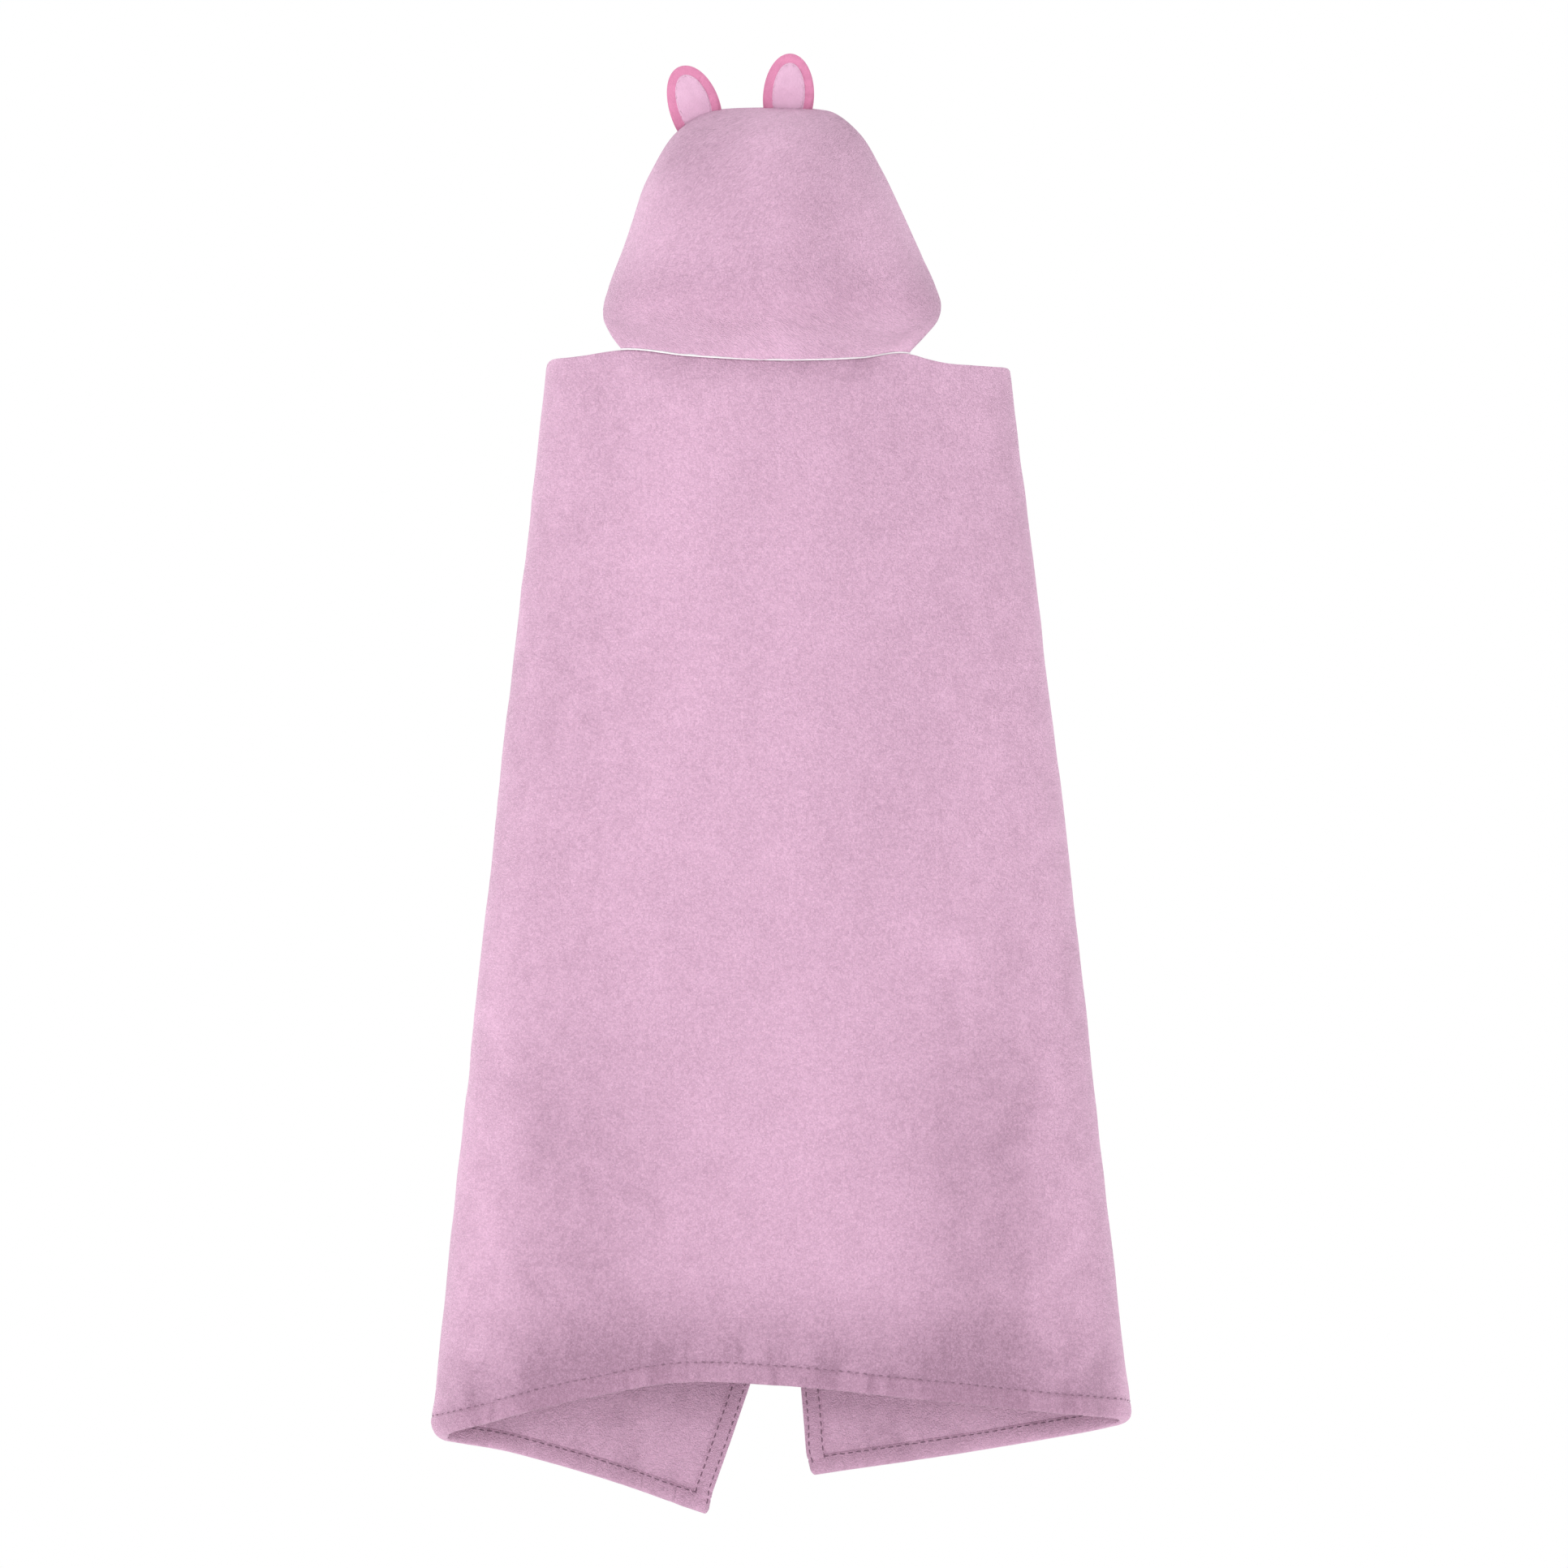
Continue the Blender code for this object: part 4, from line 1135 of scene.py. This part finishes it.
def visor_point(a, b, t):
    """The front of the hood: t runs from 0 at the back panel's edge, at (a, b), to 1 at the face opening."""
    a, b, t = arrays(a, b, t)
    place = np.where(np.abs(a) == 1, b * BACK_REACH, BACK_REACH + (1 - BACK_REACH) * (1 - np.abs(a)))
    forward = VISOR_FORWARD * ease(place / 0.45) ** 0.8
    inward = (VISOR_INWARD * ease(place / 0.95))[..., None]
    arch = hood_back_point(a, b)
    slope = (arch_y(arch[..., 2] + 0.001) - arch_y(arch[..., 2] - 0.001)) / 0.002
    arch[..., 1] += 0.0006 * np.hypot(1, slope)
    ahead = np.zeros(arch.shape)
    ahead[..., 1] = forward
    bulge = arch + 0.62 * ahead
    face = arch * (1 - np.array([0.6, 0, 1]) * inward) + ahead
    t = t[..., None]
    return arch * (1 - t) ** 2 + bulge * 2 * t * (1 - t) + face * t * t


def visor_frame(a, b, t):
    """The visor's dented surface at a grid of places, eased round the crown's corners away from the seam."""
    grid = visor_point(a, b, t)
    eased = grid.copy()
    for _ in range(60):
        eased[:, 1:-1] = (eased[:, :-2] + 2 * eased[:, 1:-1] + eased[:, 2:]) / 4
    free = ease(t / 0.35)[..., None]
    grid = grid * (1 - free) + eased * free
    x, y, z = np.moveaxis(grid, -1, 0)
    dents = 0.0020 * noise(x / 0.05, y / 0.05 + z / 0.05, 35)
    dents += 0.0007 * noise(x / 0.018, y / 0.022 + z / 0.018, 36)
    start, _, left, right = edge_distance(grid)
    dents = dents * ease(start / 0.02) * ease(np.minimum(left, right) / 0.03)
    return grid + hood_normals(grid) * dents[..., None]


def down_columns(places, run, values):
    """A grid's values at distances down its columns, one column of distances for each."""
    channels = values.reshape(*values.shape[:2], -1)
    found = [
        [np.interp(places[:, j], run[:, j], channels[:, j, k]) for j in range(run.shape[1])]
        for k in range(channels.shape[2])
    ]
    return np.transpose(found).reshape(*places.shape, *values.shape[2:])


def make_hood_front():
    """The visor, its rolled hem round the face opening, and the hem's stitches."""
    a, b = arch_line()
    t = np.append(from_ends(70, 1.5)[:-3], 1.0)
    grid = visor_frame(a[None, :], b[None, :], t[:, None])
    normal = hood_normals(grid)
    start, end, left, right = edge_distance(grid)
    total = start[-1]
    hem = np.minimum(0.55 * total, HEM_WIDTH)
    reach = 0.35 + 0.65 * ease((end - 0.75 * hem) / (0.35 * hem))
    thickness = TERRY * lip(start, 0.0026) * lip(left, 0.004) * lip(right, 0.004) * reach
    kept = np.linspace(0, total - 0.7 * hem, 64)
    even, thin = down_columns(kept, start, grid), down_columns(kept, start, thickness)
    visor = hood_panel("hood_front", even, thin, 3.0)

    # The hem stops a little short of the cheeks' lower ends, where the visor runs out.
    grid, normal, start = grid[:, 3:-3], normal[:, 3:-3], start[:, 3:-3]
    total, hem = total[3:-3], hem[3:-3]
    inward, outward = hem_section()
    places = total - np.outer(inward / HEM_WIDTH, hem)
    lifted = np.outer(outward, np.minimum(1.0, hem / 0.012))
    rings = down_columns(places, start, grid) + unit(down_columns(places, start, normal)) * lifted[..., None]
    rings = np.swapaxes(rings, 0, 1)
    run = run_length(rings[:, 0])
    uv = stacked(3.5 + run[:, None], inward + outward)
    tone = hood_tone_and_painted_light(*np.moveaxis(rings, -1, 0)) - 0.1
    face_hem = ring_tube("hood_rolled_face_hem", capped(rings), HEM_PINK, uv, tone)
    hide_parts("hood_face_hem")
    attach(face_hem, "neck")
    for face, back, offset in (("outside", 1.0, GROOVE), ("inside", 0.84, inside_face(SEWN_AT))):
        places = (total - back * hem)[None]
        line, out = [down_columns(places, start, values)[0, 6:-6] for values in (grid, normal)]
        out = unit(out)
        facing = out * math.copysign(1, offset)
        stitches(f"stitches_face_{face}", line + out * offset, facing, MAUVE_THREAD, "neck")
    return visor, face_hem


# ---- The ears: two shells of plush sewn together, stuffed, each with a paler patch ----

ARCH_A, ARCH_B = arch_line()
CROWN = np.array([point for point in hood_back_point(ARCH_A, ARCH_B) if point[2] > 0.1])


def crown_height(x):
    return np.interp(x, CROWN[:, 0], CROWN[:, 2])


def ear_place(ear, p, q):
    """World x and z of a point of the ear's own plane."""
    tilt = math.radians(ear["tilt"])
    x = ear["centre"][0] + p * math.cos(tilt) - q * math.sin(tilt)
    return x, ear["centre"][1] + p * math.sin(tilt) + q * math.cos(tilt)


def ear_base(ear, p, sunk):
    """Height of the ear's base in its own plane, a little inside the seam that holds it."""
    q = np.full(np.shape(p), ear["base"])
    for _ in range(6):
        x, z = ear_place(ear, p, q)
        q = q + crown_height(x) - sunk - z
    return q


def puff(ear, p, q):
    """How far the ear's cloth swells from its middle plane, thin at the rim and where it is sewn in."""
    out = np.minimum(1.0, np.hypot(p / EAR_HALF_WIDTH, q / EAR_HALF_HEIGHT))
    return EAR_PUFF * (1 - out**2.5) * (0.05 + 0.95 * ease((q - ear["base"]) / EAR_TAPER))


def ear_field(ear, margin, sunk, rows=64, columns=56):
    """Places (p, q) of an ear's outline less a margin, from its base to its tip."""
    a, b = EAR_HALF_WIDTH - margin, EAR_HALF_HEIGHT - margin
    shares = 1 - (1 - np.linspace(0, 1, rows)) ** 1.9
    level = ear["base"] + (b * 0.9995 - ear["base"]) * shares
    half = a * np.sqrt(np.maximum(1 - (level / b) ** 2, 1e-6))
    p = half[:, None] * np.sin(np.linspace(-math.pi / 2, math.pi / 2, columns))
    drop = ear_base(ear, p, sunk) - ear["base"]
    return p, level[:, None] + (1 - shares[:, None]) * drop


def ear_grid(ear, p, q, depth):
    x, z = ear_place(ear, p, q)
    return stacked(x, ARCH_FRONT + depth, z)


def ear_crinkles(p, q):
    """Small gathers round the rim and a few soft dents."""
    out = np.hypot(p / EAR_HALF_WIDTH, q / EAR_HALF_HEIGHT)
    reach = ease((out - 0.35) / 0.4) * (1 - ease((out - 0.93) / 0.07))
    gathers = 0.00028 * reach * noise(np.arctan2(q, p) * 9, out * 1.2, 51)
    return gathers + 0.00035 * noise(p / 0.012, q / 0.014, 52)


def ear_swell(ear, p, q):
    """How far the middle of the ear's cloth stands off its middle plane."""
    return puff(ear, p, q) + ear_crinkles(p, q)


def rim_distance(p, q, margin):
    """About how far inward a place lies from an ear's outline less a margin."""
    a, b = EAR_HALF_WIDTH - margin, EAR_HALF_HEIGHT - margin
    return np.clip((1 - np.hypot(p / a, q / b)) * a, 0, 1)


def make_ear(side):
    """One ear: for each face a shell, a patch and the patch's stitches, and the wadding between them."""
    ear = EARS[side]
    origin = 4.0 if side == "left" else 4.5

    def hang(piece):
        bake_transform(piece)

    def layer(name, node, material, p, q, depths, shift, tone):
        grids = [ear_grid(ear, p, q, depth) for depth in depths]
        piece = closed_sheet(f"ear_{side}_{name}", *grids, material, stacked(p + shift, q), tone)
        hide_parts(f"ear_{side}_{node}")
        hang(piece)
        return piece

    for face, sign in (("back", -1), ("front", 1)):
        p, q = ear_field(ear, margin=0, sunk=0.0022)
        swell, rim = ear_swell(ear, p, q), rim_distance(p, q, 0)
        outside = sign * (0.00015 + (swell + EAR_CLOTH) * (0.25 + 0.75 * lip(rim, 0.0022)))
        # Darker within the last few millimetres of the rim, and painted shade along the base where the ear
        # goes into the hood.
        tone = 0.5 + 0.18 * ease(rim / 0.004) - 0.14 * bump(q - ear["base"], 0.006)
        depths = (outside, sign * (0.0001 + swell * 0.8))
        shell = layer(f"{face}_shell", f"{face}_cloth", EAR_ROSE, p, q, depths, origin, tone)
        p, q = ear_field(ear, margin=EAR_BORDER, sunk=0.0012, rows=48, columns=40)
        edge = rim_distance(p, q, EAR_BORDER)
        swell = ear_swell(ear, p, q) + EAR_CLOTH
        outside = sign * (0.0001 + swell + 0.0011 * lip(edge, 0.0016) + 0.0005 * ease(edge / 0.006))
        depths = (outside, sign * (swell - 0.0004))
        tone = 0.5 + 0.12 * ease(edge / 0.004)
        layer(f"{face}_pale_patch", f"{face}_patch", EAR_PALE, p, q, depths, origin + 0.2, tone)
        turn = np.linspace(-0.30 * math.pi, 1.30 * math.pi, 90)
        p = (EAR_HALF_WIDTH - EAR_BORDER - 0.0012) * np.cos(turn)
        q = (EAR_HALF_HEIGHT - EAR_BORDER - 0.0012) * np.sin(turn)
        kept = q > ear_base(ear, p, 0.0) + 0.002
        p, q = p[kept], q[kept]
        line = ear_grid(ear, p, q, sign * (ear_swell(ear, p, q) + EAR_CLOTH + 0.0011))
        off = np.tile([0.0, sign, 0.0], (len(line), 1))
        hang(stitches(f"ear_{side}_{face}_stitches", line, off, PALE_THREAD))
    p, q = ear_field(ear, margin=WADDING_MARGIN, sunk=-0.0030, rows=30, columns=26)
    swell = np.maximum(puff(ear, p, q) * 0.7 - 0.0002, 0.0001)
    lumps = [swell * (1 + 0.06 * noise(p / 0.004, q / 0.004, seed)) for seed in (55, 56)]
    depths = (lumps[0], -lumps[1])
    filling = layer("filling", "wadding", WADDING_WHITE, p, q, depths, 0.0, np.full(p.shape, 0.5))


# ---- Neck seam and trims ----


def strip(name, grid, thickness, material, node):
    """A flat tape along a grid, its long edges round."""
    start, end, left, right = edge_distance(grid)
    half = thickness / 2 * lip(np.minimum(start, end), 0.0006) * lip(np.minimum(left, right), 0.0006)
    half = grid_normals(grid) * half[..., None]
    uv = stacked(left, start)
    piece = closed_sheet(name, grid + half, grid - half, material, uv, np.full(grid.shape[:2], 0.5))
    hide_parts(node)
    attach(piece, "towel")


def make_piping():
    """A fine corded piping in the seam between the hood and the towel."""
    across = steps(NECK_LEFT - 0.0005, NECK_RIGHT + 0.0005, 0.0012)
    centre = wrap_point(across, upper_edge(across))
    along = unit(np.gradient(centre, axis=0))
    up = unit(np.array([0.0, 0.0, 1.0]) - along * along[:, 2:3])
    radius = PIPING_RADIUS * (1 + 0.05 * np.sin(across * 2600))
    rings, turn = round_line(centre, up, np.cross(along, up), radius, 16)
    uv = stacked(across[:, None], turn * PIPING_RADIUS)
    piece = ring_tube("corded_neck_piping", capped(rings), TAPE_WHITE, uv)
    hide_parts("neck_piping")
    attach(piece, "towel")


def make_neck_tape():
    across = steps(NECK_LEFT, NECK_RIGHT, 0.0025)
    height = cloth_height(across)
    down = np.array([0.0004, 0.0009, 0.0018, 0.0035, 0.005, 0.0065, 0.0082, 0.0091, 0.0096])[:, None]
    depth = TERRY / 2 + 0.0008 + TAPE_THICKNESS
    middle, out = cloth_frame(across, down / height)
    grid = middle - out * (depth - TAPE_THICKNESS / 2)
    strip("woven_neck_tape", grid, TAPE_THICKNESS, TAPE_WHITE, "neck_tape")
    for row, below in (("upper", 0.0022), ("lower", 0.0074)):
        stitches(f"stitches_tape_{row}", *cloth_line(across, below / height, -depth), PALE_THREAD, "towel")


def make_hanging_loop():
    """A tape that leaves the neck tape, hangs in a U clear of the cloth, and comes back."""
    turn = np.linspace(0, math.pi, 90)[:, None]
    side = LOOP_TAPE / 2 * np.linspace(-1, 1, 11)
    x = -(LOOP_HALF_WIDTH + side) * np.cos(turn)
    y = TERRY / 2 + 0.0020 + 1.5 * TAPE_THICKNESS + LOOP_STAND_OFF * np.sin(turn) ** 0.7
    z = -0.004 - LOOP_DROP * np.sin(turn) ** 0.6 - np.sin(turn) * side
    strip("woven_hanging_loop", stacked(x, y, z), TAPE_THICKNESS, TAPE_WHITE, "hanging_loop")


def make_care_label():
    """A short blank tab, folded double, sewn under the neck tape."""
    across = LABEL_AT + LABEL_WIDTH * np.linspace(-0.5, 0.5, 15)
    part = np.linspace(0, 1, 40)[:, None]
    down = 0.0105 + LABEL_LENGTH * part
    middle, out = cloth_frame(across, down / cloth_height(across))
    lift = LABEL_LIFT * part**1.6 + 0.0006 * noise(across / 0.010, down / 0.012, 61) * part
    grid = middle - out * (TERRY / 2 + 0.0024 + lift)[..., None]
    strip("folded_label", grid, 0.0009, LABEL_WHITE, "care_label")


# ---- Camera, floor and light ----

VIEW_HEIGHT = 1.449
VIEW_CENTRE = (0.00825, -0.39225)
FLOOR_LEVEL = -1.125
FLOOR_REACH = 12.0
AMBIENT = 0.45
LIT_PLACE = (0, 0.06, -0.40)
# Soft lights: name, place, width and height, watts
LIGHTS = (
    ("front", (-0.4, -3.2, -0.75), (1.8, 1.4), 50.5),
    ("key", (-2.3, -1.9, 0.7), (1.0, 1.4), 31),
    ("side", (2.6, -0.9, 0.3), (0.8, 1.8), 17),
    ("rear_left", (-2.0, 2.6, 0.5), (1.2, 1.4), 48),
    ("rear_right", (1.9, 2.3, -0.5), (1.2, 1.2), 26),
    ("top", (0.0, 0.0, 6.0), (4.0, 4.0), 230),
)


def make_camera():
    """A camera without perspective, level and square to the towel's back."""
    data = bpy.data.cameras.new("camera")
    data.type = "ORTHO"
    data.ortho_scale = VIEW_HEIGHT
    place = (VIEW_CENTRE[0], -4.0, VIEW_CENTRE[1])
    bpy.context.scene.camera = add_to_scene("camera", data, place, (math.pi / 2, 0, 0))


def soft_light(name, place, size, watts):
    data = bpy.data.lights.new(name, "AREA")
    data.shape = "RECTANGLE"
    data.size, data.size_y = size
    data.energy = watts
    x, y, z = np.subtract(LIT_PLACE, place)
    add_to_scene(name, data, place, (math.atan2(math.hypot(x, y), -z), 0, math.pi + math.atan2(x, -y)))


def make_world():
    """Even light all round, dimmer than the white that the camera sees."""
    world = bpy.data.worlds.new("studio")
    world.use_nodes = True
    tree = world.node_tree
    path = tree.nodes.new("ShaderNodeLightPath")
    strength = tree.nodes.new("ShaderNodeMapRange")
    strength.inputs["To Min"].default_value = AMBIENT
    strength.inputs["To Max"].default_value = 1.0
    tree.links.new(path.outputs["Is Camera Ray"], strength.inputs["Value"])
    tree.links.new(strength.outputs["Result"], tree.nodes["Background"].inputs["Strength"])
    tree.nodes["Background"].inputs["Color"].default_value = (1, 1, 1, 1)
    bpy.context.scene.world = world


def floor_material():
    s = Shader("pale_floor", roughness=0.9, specular=0.1)
    s.main.inputs["Emission Color"].default_value = (1, 1, 1, 1)
    s.main.inputs["Emission Strength"].default_value = 0.30
    colour = s.dye(s.noise(1.2, 3.0), (0.84, 0.84, 0.84), (0.88, 0.88, 0.88))
    return s.finish(colour, s.noise(60.0, 2.0), 0.0005)


def make_studio():
    """A pale floor, a white surround and soft lights."""
    corners = np.array([(-1, -1, 0), (1, -1, 0), (1, 1, 0), (-1, 1, 0)]) * FLOOR_REACH
    floor = mesh_object("floor", corners + [0, 0, FLOOR_LEVEL], [[0, 1, 2, 3]], floor_material())
    make_world()
    for light in LIGHTS:
        soft_light(*light)
    bpy.context.scene.view_settings.view_transform = "Standard"


def main():
    make_camera()
    make_studio()
    flap, rest, split_across, split_share = make_towel()
    flap_hems, rest_hems = make_hems(split_across, split_share)
    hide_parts("front_flap_outer")
    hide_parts("back_panel", "front_flap_inner")
    attach(flap, "fold")
    attach(rest, "towel")
    hood_back = make_hood_back()
    visor, face_hem = make_hood_front()
    for side in EARS:
        make_ear(side)
    make_piping()
    make_neck_tape()
    make_hanging_loop()
    make_care_label()


main()
